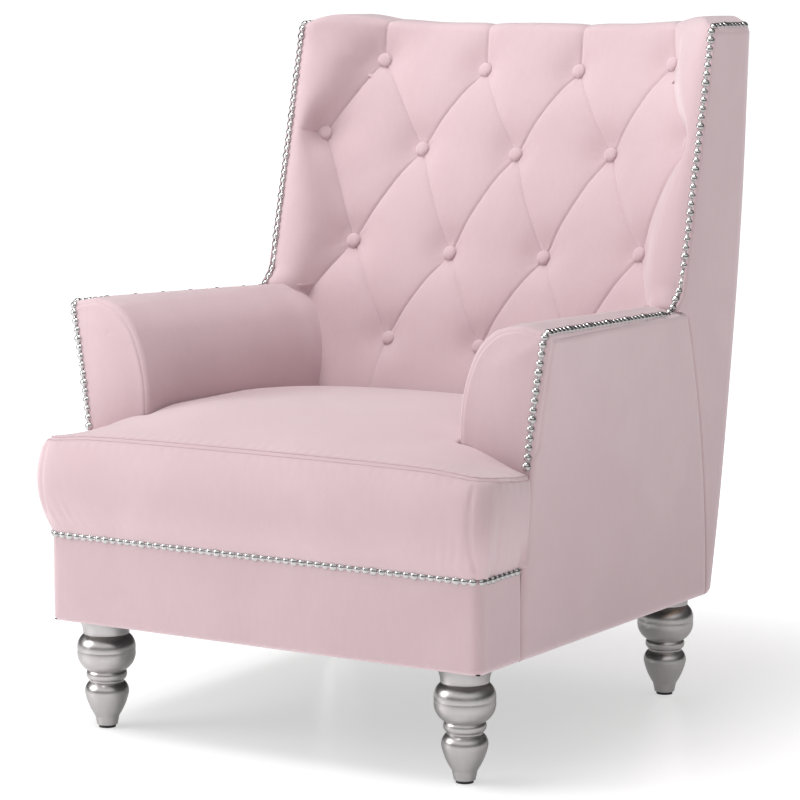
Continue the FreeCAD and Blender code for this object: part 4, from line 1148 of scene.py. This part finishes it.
def stitch_row(name, line, surface, offset_side, pitch, offset, nodes=()):
    """Stitches laid end to end on a surface, a small way to one side of a seam line."""
    tree = bvhtree.BVHTree.FromObject(surface, bpy.context.evaluated_depsgraph_get())
    count = int(np.linalg.norm(np.diff(line, axis=0), axis=1).sum() / pitch)
    points = resample(line, count * 2 + 1)
    vertices, faces = [], []
    ring = 6
    for index in range(count):
        a, b = Vector(points[2 * index]), Vector(points[2 * index + 1])
        middle = (a + b) / 2
        along = (b - a).normalized()
        start = middle + offset_side(middle, along) * offset
        found, normal, _, _ = tree.find_nearest(start)
        if found is None:
            continue
        along = (along - normal * along.dot(normal)).normalized()
        across = along.cross(normal)
        half = pitch * 0.40
        base = len(vertices)
        for share, thick, lift in ((-1, 0.25, -0.0002), (-0.6, 0.9, 0.00018), (0, 1.0, 0.00028),
                                   (0.6, 0.9, 0.00018), (1, 0.25, -0.0002)):
            centre = found + along * half * share + normal * lift
            for step in range(ring):
                angle = 2 * math.pi * step / ring
                vertices.append(centre + (across * math.cos(angle) + normal * math.sin(angle))
                                * 0.00055 * thick)
        faces += grid_faces(5, ring, base, close_columns=True)
        faces.append(tuple(range(base + ring - 1, base - 1, -1)))
        faces.append(tuple(range(base + 4 * ring, base + 5 * ring)))
    new_piece(name, [tuple(v) for v in vertices], faces, made("pink_thread"), nodes)


# ---------------------------------------------------------------- base


def make_base_front():
    """Covered front panel with softly folded corners that returns along both sides."""
    quarter = math.tan(math.pi / 8)
    radius = 0.014
    plan = arc_path([(-HALF_BASE, ARM_FRONT + 0.0035), (-HALF_BASE, BASE_FRONT + radius, quarter),
                     (-HALF_BASE + radius, BASE_FRONT), (HALF_BASE - radius, BASE_FRONT, quarter),
                     (HALF_BASE, BASE_FRONT + radius), (HALF_BASE, ARM_FRONT + 0.0035)], 16)
    plan = resample(plan, 190)
    heights = np.linspace(FRAME_Z - 0.0015, NAIL_Z + 0.0055, 32)
    points = np.array([[(x, y, z) for x, y in plan] for z in heights])
    panel_cover("base_front_cover", points, [0, -1.0, 0], thickness=0.0036, rim_radius=0.003,
                wobble=0.0005, nodes=("base_front_panel",))


def make_dust_cloth():
    """Black cloth under the chair, its rear corners turned in behind the rounded panels."""
    mesh = NODES["dust_cover"].data.copy()
    mesh.name = "dust_cloth"
    turned_in = 0.016
    for vertex in mesh.vertices:
        if vertex.co.y > BASE_FRONT + 0.6:
            if abs(vertex.co.x) > HALF_BASE - 0.04:
                vertex.co.x -= math.copysign(turned_in, vertex.co.x)
                vertex.co.y -= turned_in
    mesh.update()
    mesh_piece("dust_cloth", mesh, made("black_dust_cloth"), ("dust_cover",))


# ---------------------------------------------------------------- arms


def arm_section(top_z, outer_x, inset):
    """Section of the arm from low inside, up over the crest and down a little outside."""
    inner = SEAT_HALF + inset
    top = top_z - inset
    outer = outer_x - inset
    band = 0.038
    lip = 0.006
    corners = [(inner, SEAT_LOW.z + 0.01), (inner, top - 0.131, -0.1),
               (inner + 0.017, top - 0.05, -0.16), (inner + 0.05, top - 0.009, -0.1),
               (outer - band, top), (outer - lip, top - 0.0062, -0.36),
               (outer - 0.001, top - 0.0125), (outer - 0.0055, top - 0.03)]
    return resample(arc_path(corners, 14), 120)


def make_arm(name, side):
    """Padded top and inside of an arm, its front panel and its outside panel."""
    front, rear = ARM_FRONT + 0.001, 0.2
    roll = 0.007
    turn = np.linspace(0, math.pi / 2, 7)
    ys = [(front + roll * (1 - math.sin(a)), roll * (1 - math.cos(a))) for a in turn[::-1]]
    ys += [(y, 0.0) for y in np.linspace(front + roll, rear, 74)[1:]]
    wing_front = float(wing_y(WING_FOOT))
    rows = []
    for y, inset in ys:
        share = np.clip((y - ARM_FRONT) / (wing_front - ARM_FRONT), 0, 1)
        top = ARM_TOP - 0.014 * share
        outer = ARM_OUTER + (WING_HALF - ARM_OUTER) * share
        outer -= 0.03 * smoothstep(wing_front + 0.002, wing_front + 0.012, y)
        section = arm_section(top, outer, inset)
        rows.append(np.column_stack([section[:, 0], np.full(len(section), y), section[:, 1]]))
    points = np.array(rows)
    normals = grid_normals(points)
    if normals[30, 60, 2] < 0:
        normals = -normals
    count = points.shape[1]
    around = np.linspace(0, 1, count)
    crown = 0.004 * np.sin(np.pi * np.clip((around - 0.35) / 0.55, 0, 1))
    ends = smoothstep(0, 0.05, points[:, :, 1] - front) * (
        1 - smoothstep(wing_front - 0.05, wing_front, points[:, :, 1]))
    lift = crown[None] * ends + 0.0007 * ripple(points, 7.0)
    pucker = np.sin(points[:, :, 1] * 2 * math.pi / 0.012)
    band = np.exp(-((around - 0.83) / 0.035) ** 2)[None]
    lift += 0.00035 * pucker * band * ends
    points = points + normals * lift[:, :, None]
    tuck, low = points[:, -1:].copy(), points[:, :1].copy()
    tuck[:, :, 0] -= 0.04
    tuck[:, :, 2] -= 0.012
    low[:, :, 0] = np.minimum(tuck[:, :, 0], HALF_BASE - 0.03)
    low[:, :, 2] = SEAT_LOW.z + 0.01
    closed = np.concatenate([points, tuck, low], axis=1)
    closed[:, :, 0] *= side
    total_rows, columns = closed.shape[:2]
    vertices = closed.reshape(-1, 3)
    faces = grid_faces(total_rows, columns, close_columns=True)
    for row in (0, total_rows - 1):
        centre = len(vertices)
        ring = [row * columns + k for k in range(columns)]
        vertices = np.concatenate([vertices, vertices[ring].mean(axis=0)[None]])
        for k in range(columns):
            faces.append((ring[k], ring[(k + 1) % columns], centre))
    piece = new_piece("arm_cover_" + name, vertices, faces, velvet(),
                      ("arm_pad_" + name,))
    make_arm_front(name, side)
    make_outside_arm(name, side)


def make_arm_front(name, side):
    """Front panel of an arm, crowned and set inside the rolled edge of the arm's cover."""
    inset = 0.0055
    section = arm_section(ARM_TOP, ARM_OUTER, inset)
    upper = section[(section[:, 1] > SEAT_LOW.z + 0.03)]
    upper = upper[: -6]
    foot_z = SEAT_LOW.z + 0.03
    side_line = [(flare_x(z) - 0.003, z) for z in np.linspace(ARM_TOP - 0.022, foot_z, 40)]
    foot = [(x, foot_z) for x in np.linspace(flare_x(foot_z) - 0.003, SEAT_HALF + inset, 24)[1:-1]]
    outline = np.concatenate([upper, np.array(side_line), np.array(foot)])
    outline = resample(np.concatenate([outline, outline[:1]]), 241)[:-1]
    spine_low, spine_high = np.array([0.288, 0.345]), np.array([0.312, 0.53])
    run = spine_high - spine_low
    t = np.clip(((outline - spine_low) @ run) / (run @ run), 0, 1)
    heart = spine_low + run * t[:, None]
    shares = [0.0, 0.008, 0.02, 0.04, 0.07, 0.12, 0.2, 0.32, 0.46, 0.62, 0.8, 1.0]
    gap = np.linalg.norm(heart - outline, axis=1)
    rings = []
    for share in shares:
        flat = outline + (heart - outline) * share
        edge = gap * share
        roll = 0.0045
        lift = np.sqrt(np.maximum(roll ** 2 - np.clip(roll - edge, 0, roll) ** 2, 0)) - roll
        lift += 0.0042 * smoothstep(0, 0.042, edge)
        y = ARM_FRONT - 0.0008 - lift
        rings.append(np.column_stack([flat[:, 0] * side, y, flat[:, 1]]))
    back = rings[0].copy()
    back[:, 1] = ARM_FRONT + 0.008
    rings.insert(0, back)
    vertices = np.concatenate(rings)
    count = len(outline)
    faces = grid_faces(len(rings), count, close_columns=True)
    centre = len(vertices)
    vertices = np.concatenate([vertices, back.mean(axis=0)[None]])
    for k in range(count):
        faces.append((k, (k + 1) % count, centre))
    new_piece("arm_front_cover_" + name, vertices, faces, velvet(),
              ("arm_front_panel_" + name,))


def make_outside_arm(name, side):
    """Outside panel of an arm: a folded front edge, warped from the flare to the rear seam."""
    rows, columns = 90, 70
    points = np.zeros((rows, columns, 3))
    top_front, top_rear = ARM_TOP - 0.0145, WING_FOOT - 0.0085
    for row in range(rows):
        share = row / (rows - 1)
        z_front = PANEL_FOOT + (top_front - PANEL_FOOT) * share
        z_rear = PANEL_FOOT + (top_rear - PANEL_FOOT) * share
        fold = ARM_FRONT + 0.0105 - 0.0095 * (1 - smoothstep(0.41, 0.43, z_front))
        front = np.array([float(flare_x(z_front)) + 0.0006, fold, z_front])
        rear = np.array([WING_HALF + 0.0004, float(seam_y(z_rear)) + 0.0012, z_rear])
        for column in range(columns):
            points[row, column] = front + (rear - front) * (column / (columns - 1))
    if side < 0:
        points[:, :, 0] *= -1
    panel_cover("outside_arm_cover_" + name, points, [side, 0, 0.0], thickness=0.0045,
                rim_radius=0.0028, wobble=0.0009, nodes=("outside_arm_panel_" + name,))
    # The plain band between the front nails and the folded edge of the outside panel.
    heights = np.linspace(SEAT_LOW.z + 0.03, ARM_TOP - 0.012, 60)
    depths = np.linspace(ARM_FRONT + 0.001, ARM_FRONT + 0.03, 8)
    band = np.array([[(side * (float(flare_x(z)) - 0.0008), y, z) for y in depths]
                     for z in heights])
    panel_cover("arm_edge_band_" + name, band, [side, 0, 0.0], thickness=0.006,
                rim_radius=0.004, wobble=0.0, nodes=())


# ---------------------------------------------------------------- outside of the wings and back


def make_outside_wing(name, side):
    """Outside panel of a wing, from the arm seam and its front edge round the rear corner."""
    heights = np.linspace(PANEL_FOOT, BACK_TOP + 0.008, 150)
    columns = 64
    corner = np.linspace(0, math.pi / 2, 18)
    rows = []
    for z in heights:
        seam = float(seam_y(min(z, WING_FOOT))) - 0.0012
        edge = max(float(wing_y(z)) + 0.0015, float(wing_y(WING_FOOT))) - foot_sweep(z)
        front = seam + (edge - seam) * smoothstep(WING_FOOT - 0.014, WING_FOOT - 0.002, z)
        rear = float(rear_y(z))
        straight = [(WING_HALF + 0.0004, y) for y in np.linspace(front, rear - CORNER_RADIUS, 46)]
        bend = [(WING_HALF - CORNER_RADIUS + CORNER_RADIUS * math.cos(a),
                 rear - CORNER_RADIUS + CORNER_RADIUS * math.sin(a)) for a in corner[1:]]
        line = np.array(straight + bend)
        line = np.concatenate([line, [(WING_HALF - CORNER_RADIUS - 0.004, rear)]])
        line = resample(line, columns)
        rows.append([(side * x, y, z) for x, y in line])
    points = np.array(rows)
    panel_cover("outside_wing_cover_" + name, points, [side, 0.3, 0.0], thickness=0.0038,
                rim_radius=0.0028, wobble=0.0009, nodes=("outside_wing_panel_" + name,))


def make_outside_back():
    """Rear panel between the two wrapped corners."""
    heights = np.linspace(PANEL_FOOT, BACK_TOP + 0.003, 120)
    half = WING_HALF - CORNER_RADIUS - 0.0036
    points = np.array([[(x, float(rear_y(z)) - 0.0002, z) for x in np.linspace(-half, half, 90)]
                       for z in heights])
    panel_cover("outside_back_cover", points, [0, 1.0, 0], thickness=0.0038, rim_radius=0.003,
                wobble=0.0011, nodes=("outside_back_panel",))


# ---------------------------------------------------------------- nail-head trim


def smooth_path(stations, pitch):
    """Evenly spaced places along (point, facing) stations, with their facings."""
    points = np.array([point for point, _ in stations], float)
    facings = np.array([facing for _, facing in stations], float)
    facings /= np.linalg.norm(facings, axis=1, keepdims=True)
    lengths = np.concatenate([[0], np.cumsum(np.linalg.norm(np.diff(points, axis=0), axis=1))])
    count = int(lengths[-1] / pitch)
    wanted = (np.arange(count) + 0.5) * lengths[-1] / count
    pick = [np.stack([np.interp(wanted, lengths, values[:, k]) for k in range(3)], 1)
            for values in (points, facings)]
    return [(Vector(point), Vector(facing).normalized()) for point, facing in zip(*pick)]


def settle(run, covers):
    """Moves each place on to the nearest cover that it faces away from."""
    trees = [bvhtree.BVHTree.FromObject(cover, bpy.context.evaluated_depsgraph_get())
             for cover in covers]
    settled = []
    for point, facing in run:
        best = None
        for tree in trees:
            found, _, _, gap = tree.ray_cast(point + facing * 0.03, -facing, 0.05)
            if found is not None and (best is None or gap < best[1]):
                best = (found, gap)
        settled.append((best[0] if best else point, facing))
    heights = [(place - point).dot(facing) for (place, facing), (point, _) in zip(settled, run)]
    smooth = np.convolve(np.pad(heights, 2, mode="edge"), np.ones(5) / 5, mode="valid")
    return [(point + facing * float(level), facing)
            for (point, facing), level in zip(run, smooth)]


def front_stations():
    """Across the joint of the seat and the base, round both corners."""
    radius = 0.014
    stations = []
    for side in (-1, 1):
        turn = [(side * HALF_BASE, ARM_FRONT - 0.004, (side, 0, 0))]
        for angle in np.linspace(0, math.pi / 2, 6):
            turn.append((side * (HALF_BASE - radius + radius * math.cos(angle)),
                         BASE_FRONT + radius - radius * math.sin(angle),
                         (side * math.cos(angle), -math.sin(angle), 0)))
        stations += turn if side < 0 else turn[::-1]
    return [((x, y, NAIL_Z), facing) for x, y, facing in stations]


def side_stations(side):
    """Up the front of an arm, along its top, up the wing and back along the wing's top."""
    stations = []
    for z in np.linspace(EAR_TOP, ARM_TOP - 0.017, 12):
        stations.append(((side * (float(flare_x(z)) - 0.0072), ARM_FRONT - 0.004, z), (0, -1, 0)))
    stations.append(((side * (ARM_OUTER - 0.0075), ARM_FRONT + 0.0005, ARM_TOP - 0.0085),
                     (0.1 * side, -0.8, 0.6)))
    wing_front = float(wing_y(WING_FOOT))
    for y in np.linspace(ARM_FRONT + 0.010, wing_front - 0.036, 14):
        share = (y - ARM_FRONT) / (wing_front - ARM_FRONT)
        outer = ARM_OUTER + (WING_HALF - ARM_OUTER) * share
        stations.append(((side * (outer - 0.0058), y, ARM_TOP - 0.006 - 0.014 * share),
                         (0.45 * side, 0, 1)))
    for y, z, fall in ((0.022, 0.001, 0.9), (0.012, 0.008, 0.7), (0.004, 0.018, 0.45)):
        stations.append(((side * (WING_HALF - 0.0055), wing_front - y, WING_FOOT + z),
                         (0.4 * side, -1 + fall * 0.7, fall)))
    for z in np.linspace(WING_FOOT + 0.034, BACK_TOP - 0.006, 20):
        stations.append(((side * (WING_HALF - 0.0055), float(wing_y(z)), z), (0.3 * side, -1, 0.2)))
    top_y = float(wing_y(BACK_TOP))
    for angle in np.linspace(0.35, 1.4, 4):
        stations.append(((side * (WING_HALF - 0.0055), top_y + 0.014 * (1 - math.cos(angle)),
                          BACK_TOP + 0.014 * math.sin(angle)),
                         (0.35 * side, -math.cos(angle), math.sin(angle))))
    for y in np.linspace(top_y + 0.022, top_y + 0.112, 6):
        stations.append(((side * (WING_HALF - 0.0055), y, BACK_TOP + 0.0135), (0.4 * side, 0, 1)))
    return stations


def make_nails(name, run, trim):
    """A row of separate nails with strips of smaller joined domes between them."""
    vertices, faces = [], []
    count = 22
    period = trim.strip_domes + 1
    band = [(-1.0, -0.0012), (-0.9, 0.0006), (-0.55, 0.0011), (0.55, 0.0011), (0.9, 0.0006),
            (1.0, -0.0012)]
    width = trim.strip_diameter * 0.28
    for index, (foot, facing) in enumerate(run):
        before, after = run[max(index - 1, 0)][0], run[min(index + 1, len(run) - 1)][0]
        along = (after - before).normalized()
        across = along.cross(facing).normalized()
        for share, lift in band:
            vertices.append(foot + across * width * share + facing * lift)
    faces += grid_faces(len(run), len(band), close_columns=True)
    faces.append(tuple(range(len(band) - 1, -1, -1)))
    end = (len(run) - 1) * len(band)
    faces.append(tuple(range(end, end + len(band))))
    for index, (foot, facing) in enumerate(run):
        nail = index % period == 0
        radius = (trim.nail_diameter if nail else trim.strip_diameter) / 2
        rise = radius * (0.72 if nail else 0.66)
        right = facing.cross(Vector((0.31, 0.22, 0.92))).normalized()
        up = right.cross(facing)
        start = len(vertices)
        profile = [(1.0, -0.0018), (1.0, 0.0005)]
        profile += [(math.cos(a), 0.0005 + rise * math.sin(a))
                    for a in np.linspace(0.16, math.pi / 2 - 0.12, 8)]
        for share, lift in profile:
            for step in range(count):
                angle = 2 * math.pi * step / count
                vertices.append(foot + facing * lift + (right * math.cos(angle)
                                                        + up * math.sin(angle)) * radius * share)
        close_dome(faces, start, len(profile), count, len(vertices))
        vertices.append(foot + facing * (rise + 0.0006))
    new_piece("nail_row_" + name, [tuple(v) for v in vertices], faces, made("polished_nail"),
              ("nail_trim_" + name,))


# ---------------------------------------------------------------- stage


def make_floor():
    """Pale floor whose painted glow rises from painted shade near the chair into a white surround,
    and shines less in the metals as a painted darker reflection.
    """
    size = 30.0
    mesh = bpy.data.meshes.new("floor")
    mesh.from_pydata([(-size, -size, 0), (size, -size, 0), (size, size, 0), (-size, size, 0)], [],
                     [(0, 1, 2, 3)])
    floor = bpy.data.objects.new("floor", mesh)
    bpy.context.scene.collection.objects.link(floor)
    floor.location.z = -0.0002
    material = bpy.data.materials.new("pale_floor")
    material.use_nodes = True
    tree = material.node_tree
    shader = tree.nodes["Principled BSDF"]
    for label, value in (("Base Color", (0.8, 0.8, 0.805, 1)), ("Roughness", 0.25),
                         ("Specular IOR Level", 0.3), ("Emission Strength", 1.0)):
        shader.inputs[label].default_value = value
    where = wire(tree, "ShaderNodeTexCoord", place=(-800, 0))
    path = wire(tree, "ShaderNodeLightPath", place=(-800, -300))
    far = wire(tree, "ShaderNodeVectorMath", {0: where.outputs["Object"]}, (-600, 0),
               operation="LENGTH")
    # Painted glow: the floor emits light of its own, 0.55 near the chair rising to 1.0 further out,
    # so a painted shade lies round the chair.
    painted_glow = wire(tree, "ShaderNodeMapRange", {
        "Value": far.outputs["Value"], "From Min": 0.35, "From Max": 1.7, "To Min": 0.55,
        "To Max": 1.0}, (-400, 0), interpolation_type="SMOOTHSTEP")
    # Painted reflection: glossy rays see only three tenths of the glow, a painted darkening of the
    # floor where the metals reflect it.
    dim = wire(tree, "ShaderNodeMath", {0: path.outputs["Is Glossy Ray"], 1: -0.7, 2: 1.0},
               (-500, -200), operation="MULTIPLY_ADD")
    seen = wire(tree, "ShaderNodeMath", {0: painted_glow.outputs["Result"], 1: dim.outputs[0]},
                (-300, -100), operation="MULTIPLY").outputs[0]
    tint = wire(tree, "ShaderNodeCombineColor", {"Red": seen, "Green": seen, "Blue": seen},
                (-200, 0))
    tree.links.new(tint.outputs[0], shader.inputs["Emission Color"])
    mesh.materials.append(material)


def make_light(name, place, target, size, power):
    light = bpy.data.lights.new(name, "AREA")
    light.shape = "RECTANGLE"
    light.size, light.size_y = size
    light.energy = power
    lamp = bpy.data.objects.new(name, light)
    lamp.location = place
    lamp.rotation_mode = "QUATERNION"
    lamp.rotation_quaternion = (Vector(target) - Vector(place)).to_track_quat("-Z", "Y")
    bpy.context.scene.collection.objects.link(lamp)


def make_world():
    """White behind the chair, soft light on it, and a dark band at eye level for the metals."""
    world = bpy.data.worlds.new("studio")
    bpy.context.scene.world = world
    world.use_nodes = True
    tree = world.node_tree
    tree.nodes.clear()
    where = wire(tree, "ShaderNodeTexCoord", place=(-800, 0))
    split = wire(tree, "ShaderNodeSeparateXYZ", {0: where.outputs["Generated"]}, (-600, 0))
    ramp = wire(tree, "ShaderNodeValToRGB", {"Fac": split.outputs["Z"]}, (-400, 0))
    stops = ramp.color_ramp.elements
    stops[0].position, stops[0].color = 0.0, (0.05, 0.05, 0.05, 1)
    stops[1].position, stops[1].color = 1.0, (0.6, 0.6, 0.6, 1)
    for height, level in ((0.2, 0.06), (0.42, 0.8), (0.6, 0.8), (0.78, 0.25)):
        stops.new(height).color = (level, level, level, 1)
    sides = wire(tree, "ShaderNodeMapRange", {
        "Value": split.outputs["Y"], "From Min": -0.5, "From Max": 0.35, "To Min": 1.25,
        "To Max": 0.12}, (-400, -300))
    white = (1, 1, 1, 1)
    seen, lit, mirrored = [
        wire(tree, "ShaderNodeBackground", {"Color": colour, "Strength": strength}).outputs[0]
        for colour, strength in ((white, 1.05), (white, 0.32),
                                 (ramp.outputs["Color"], sides.outputs["Result"]))]
    path = wire(tree, "ShaderNodeLightPath", place=(0, 300)).outputs
    glossy = wire(tree, "ShaderNodeMixShader", {0: path["Is Glossy Ray"], 1: lit, 2: mirrored})
    mix = wire(tree, "ShaderNodeMixShader", {
        0: path["Is Camera Ray"], 1: glossy.outputs[0], 2: seen})
    wire(tree, "ShaderNodeOutputWorld", {"Surface": mix.outputs[0]})


def make_camera(settings):
    data = bpy.data.cameras.new("camera")
    data.lens = settings.lens
    camera = bpy.data.objects.new("camera", data)
    bpy.context.scene.collection.objects.link(camera)
    camera.location = (2.1968, -3.5835, 0.9991)
    camera.rotation_euler = (math.pi / 2 - settings.fall, 0, settings.bearing)
    bpy.context.scene.camera = camera


# ---------------------------------------------------------------- operators


class ARMCHAIR_OT_frame(bpy.types.Operator):
    """Gives every node of the frame the finish of its own stock"""
    bl_idname = "armchair.frame"
    bl_label = "Frame finishes"

    def execute(self, context):
        for name, item in NODES.items():
            item.data.materials.clear()
            item.data.materials.append(finish_of(name))
        return {"FINISHED"}


class ARMCHAIR_OT_back(bpy.types.Operator):
    """Covers the inside back with buttoned velvet"""
    bl_idname = "armchair.back"
    bl_label = "Inside back"

    def execute(self, context):
        tufting = make_inside_back(context.scene.armchair_back)
        make_buttons(context.scene.armchair_back, tufting)
        return {"FINISHED"}


class ARMCHAIR_OT_seat(bpy.types.Operator):
    """Makes the tight seat with its stitched top seam"""
    bl_idname = "armchair.seat"
    bl_label = "Seat"

    def execute(self, context):
        settings = context.scene.armchair_seat
        line = make_seat(settings)
        cover = bpy.data.objects["seat_tight_cover"]
        stitch_row("seat_stitches_top", line, cover,
                   lambda p, along: Vector((-along.y, along.x, 0.25)).normalized(),
                   settings.stitch, 0.0035)
        stitch_row("seat_stitches_front", line, cover,
                   lambda p, along: Vector((along.y * 0.5, -along.x * 0.5, -0.9)).normalized(),
                   settings.stitch, 0.0035)
        return {"FINISHED"}


class ARMCHAIR_OT_base(bpy.types.Operator):
    """Covers the front of the base"""
    bl_idname = "armchair.base"
    bl_label = "Base front"

    def execute(self, context):
        make_base_front()
        make_dust_cloth()
        return {"FINISHED"}


class ARMCHAIR_OT_arms(bpy.types.Operator):
    """Covers both arms"""
    bl_idname = "armchair.arms"
    bl_label = "Arms"

    def execute(self, context):
        for name, side in SIDES:
            make_arm(name, side)
        return {"FINISHED"}


class ARMCHAIR_OT_outside(bpy.types.Operator):
    """Covers the outside of the wings and the back"""
    bl_idname = "armchair.outside"
    bl_label = "Outside"

    def execute(self, context):
        for name, side in SIDES:
            make_outside_wing(name, side)
        make_outside_back()
        return {"FINISHED"}


class ARMCHAIR_OT_trim(bpy.types.Operator):
    """Sets the nail-head trim"""
    bl_idname = "armchair.trim"
    bl_label = "Nail-head trim"

    def execute(self, context):
        trim = context.scene.armchair_trim
        make_nails("front", smooth_path(front_stations(), trim.pitch), trim)
        for name, side in SIDES:
            covers = [bpy.data.objects[piece] for piece in
                      ("inside_back_tufted", "arm_cover_" + name, "arm_front_cover_" + name)]
            run = settle(smooth_path(side_stations(side), trim.pitch), covers)
            make_nails(name, run, trim)
        return {"FINISHED"}


class ARMCHAIR_OT_stage(bpy.types.Operator):
    """Sets the floor, the soft studio light and the camera"""
    bl_idname = "armchair.stage"
    bl_label = "Stage"

    def execute(self, context):
        make_floor()
        make_world()
        make_light("key", (-1.55, -1.35, 0.95), (0, -0.2, 0.4), (1.1, 1.1), 14)
        make_light("top", (-0.4, -0.7, 2.9), (0, -0.1, 0.4), (1.6, 1.6), 57)
        make_camera(context.scene.armchair_stage)
        context.scene.view_settings.view_transform = "Standard"
        return {"FINISHED"}


class ARMCHAIR_PT_panel(bpy.types.Panel):
    bl_idname = "ARMCHAIR_PT_panel"
    bl_label = "Wing armchair"
    bl_space_type = "VIEW_3D"
    bl_region_type = "UI"
    bl_category = "Armchair"

    def draw(self, context):
        for settings in SETTINGS:
            box = self.layout.box()
            group = getattr(context.scene, settings)
            for key in group.bl_rna.properties.keys():
                if key not in ("rna_type", "name"):
                    box.prop(group, key)
        for kind in OPERATORS:
            self.layout.operator(kind.bl_idname)


SETTINGS = {
    "armchair_velvet": VelvetSettings,
    "armchair_back": BackSettings,
    "armchair_seat": SeatSettings,
    "armchair_trim": TrimSettings,
    "armchair_stage": StageSettings,
}
OPERATORS = (ARMCHAIR_OT_stage, ARMCHAIR_OT_frame, ARMCHAIR_OT_back, ARMCHAIR_OT_seat,
             ARMCHAIR_OT_base, ARMCHAIR_OT_arms, ARMCHAIR_OT_outside, ARMCHAIR_OT_trim)


def register():
    for key, kind in SETTINGS.items():
        bpy.utils.register_class(kind)
        setattr(bpy.types.Scene, key, PointerProperty(type=kind))
    for kind in OPERATORS:
        bpy.utils.register_class(kind)
    bpy.utils.register_class(ARMCHAIR_PT_panel)


def unregister():
    bpy.utils.unregister_class(ARMCHAIR_PT_panel)
    for kind in reversed(OPERATORS):
        bpy.utils.unregister_class(kind)
    for key, kind in reversed(SETTINGS.items()):
        delattr(bpy.types.Scene, key)
        bpy.utils.unregister_class(kind)


def main():
    register()
    for kind in OPERATORS:
        group, call = kind.bl_idname.split(".")
        getattr(getattr(bpy.ops, group), call)()


if __name__ == "__main__":
    main()
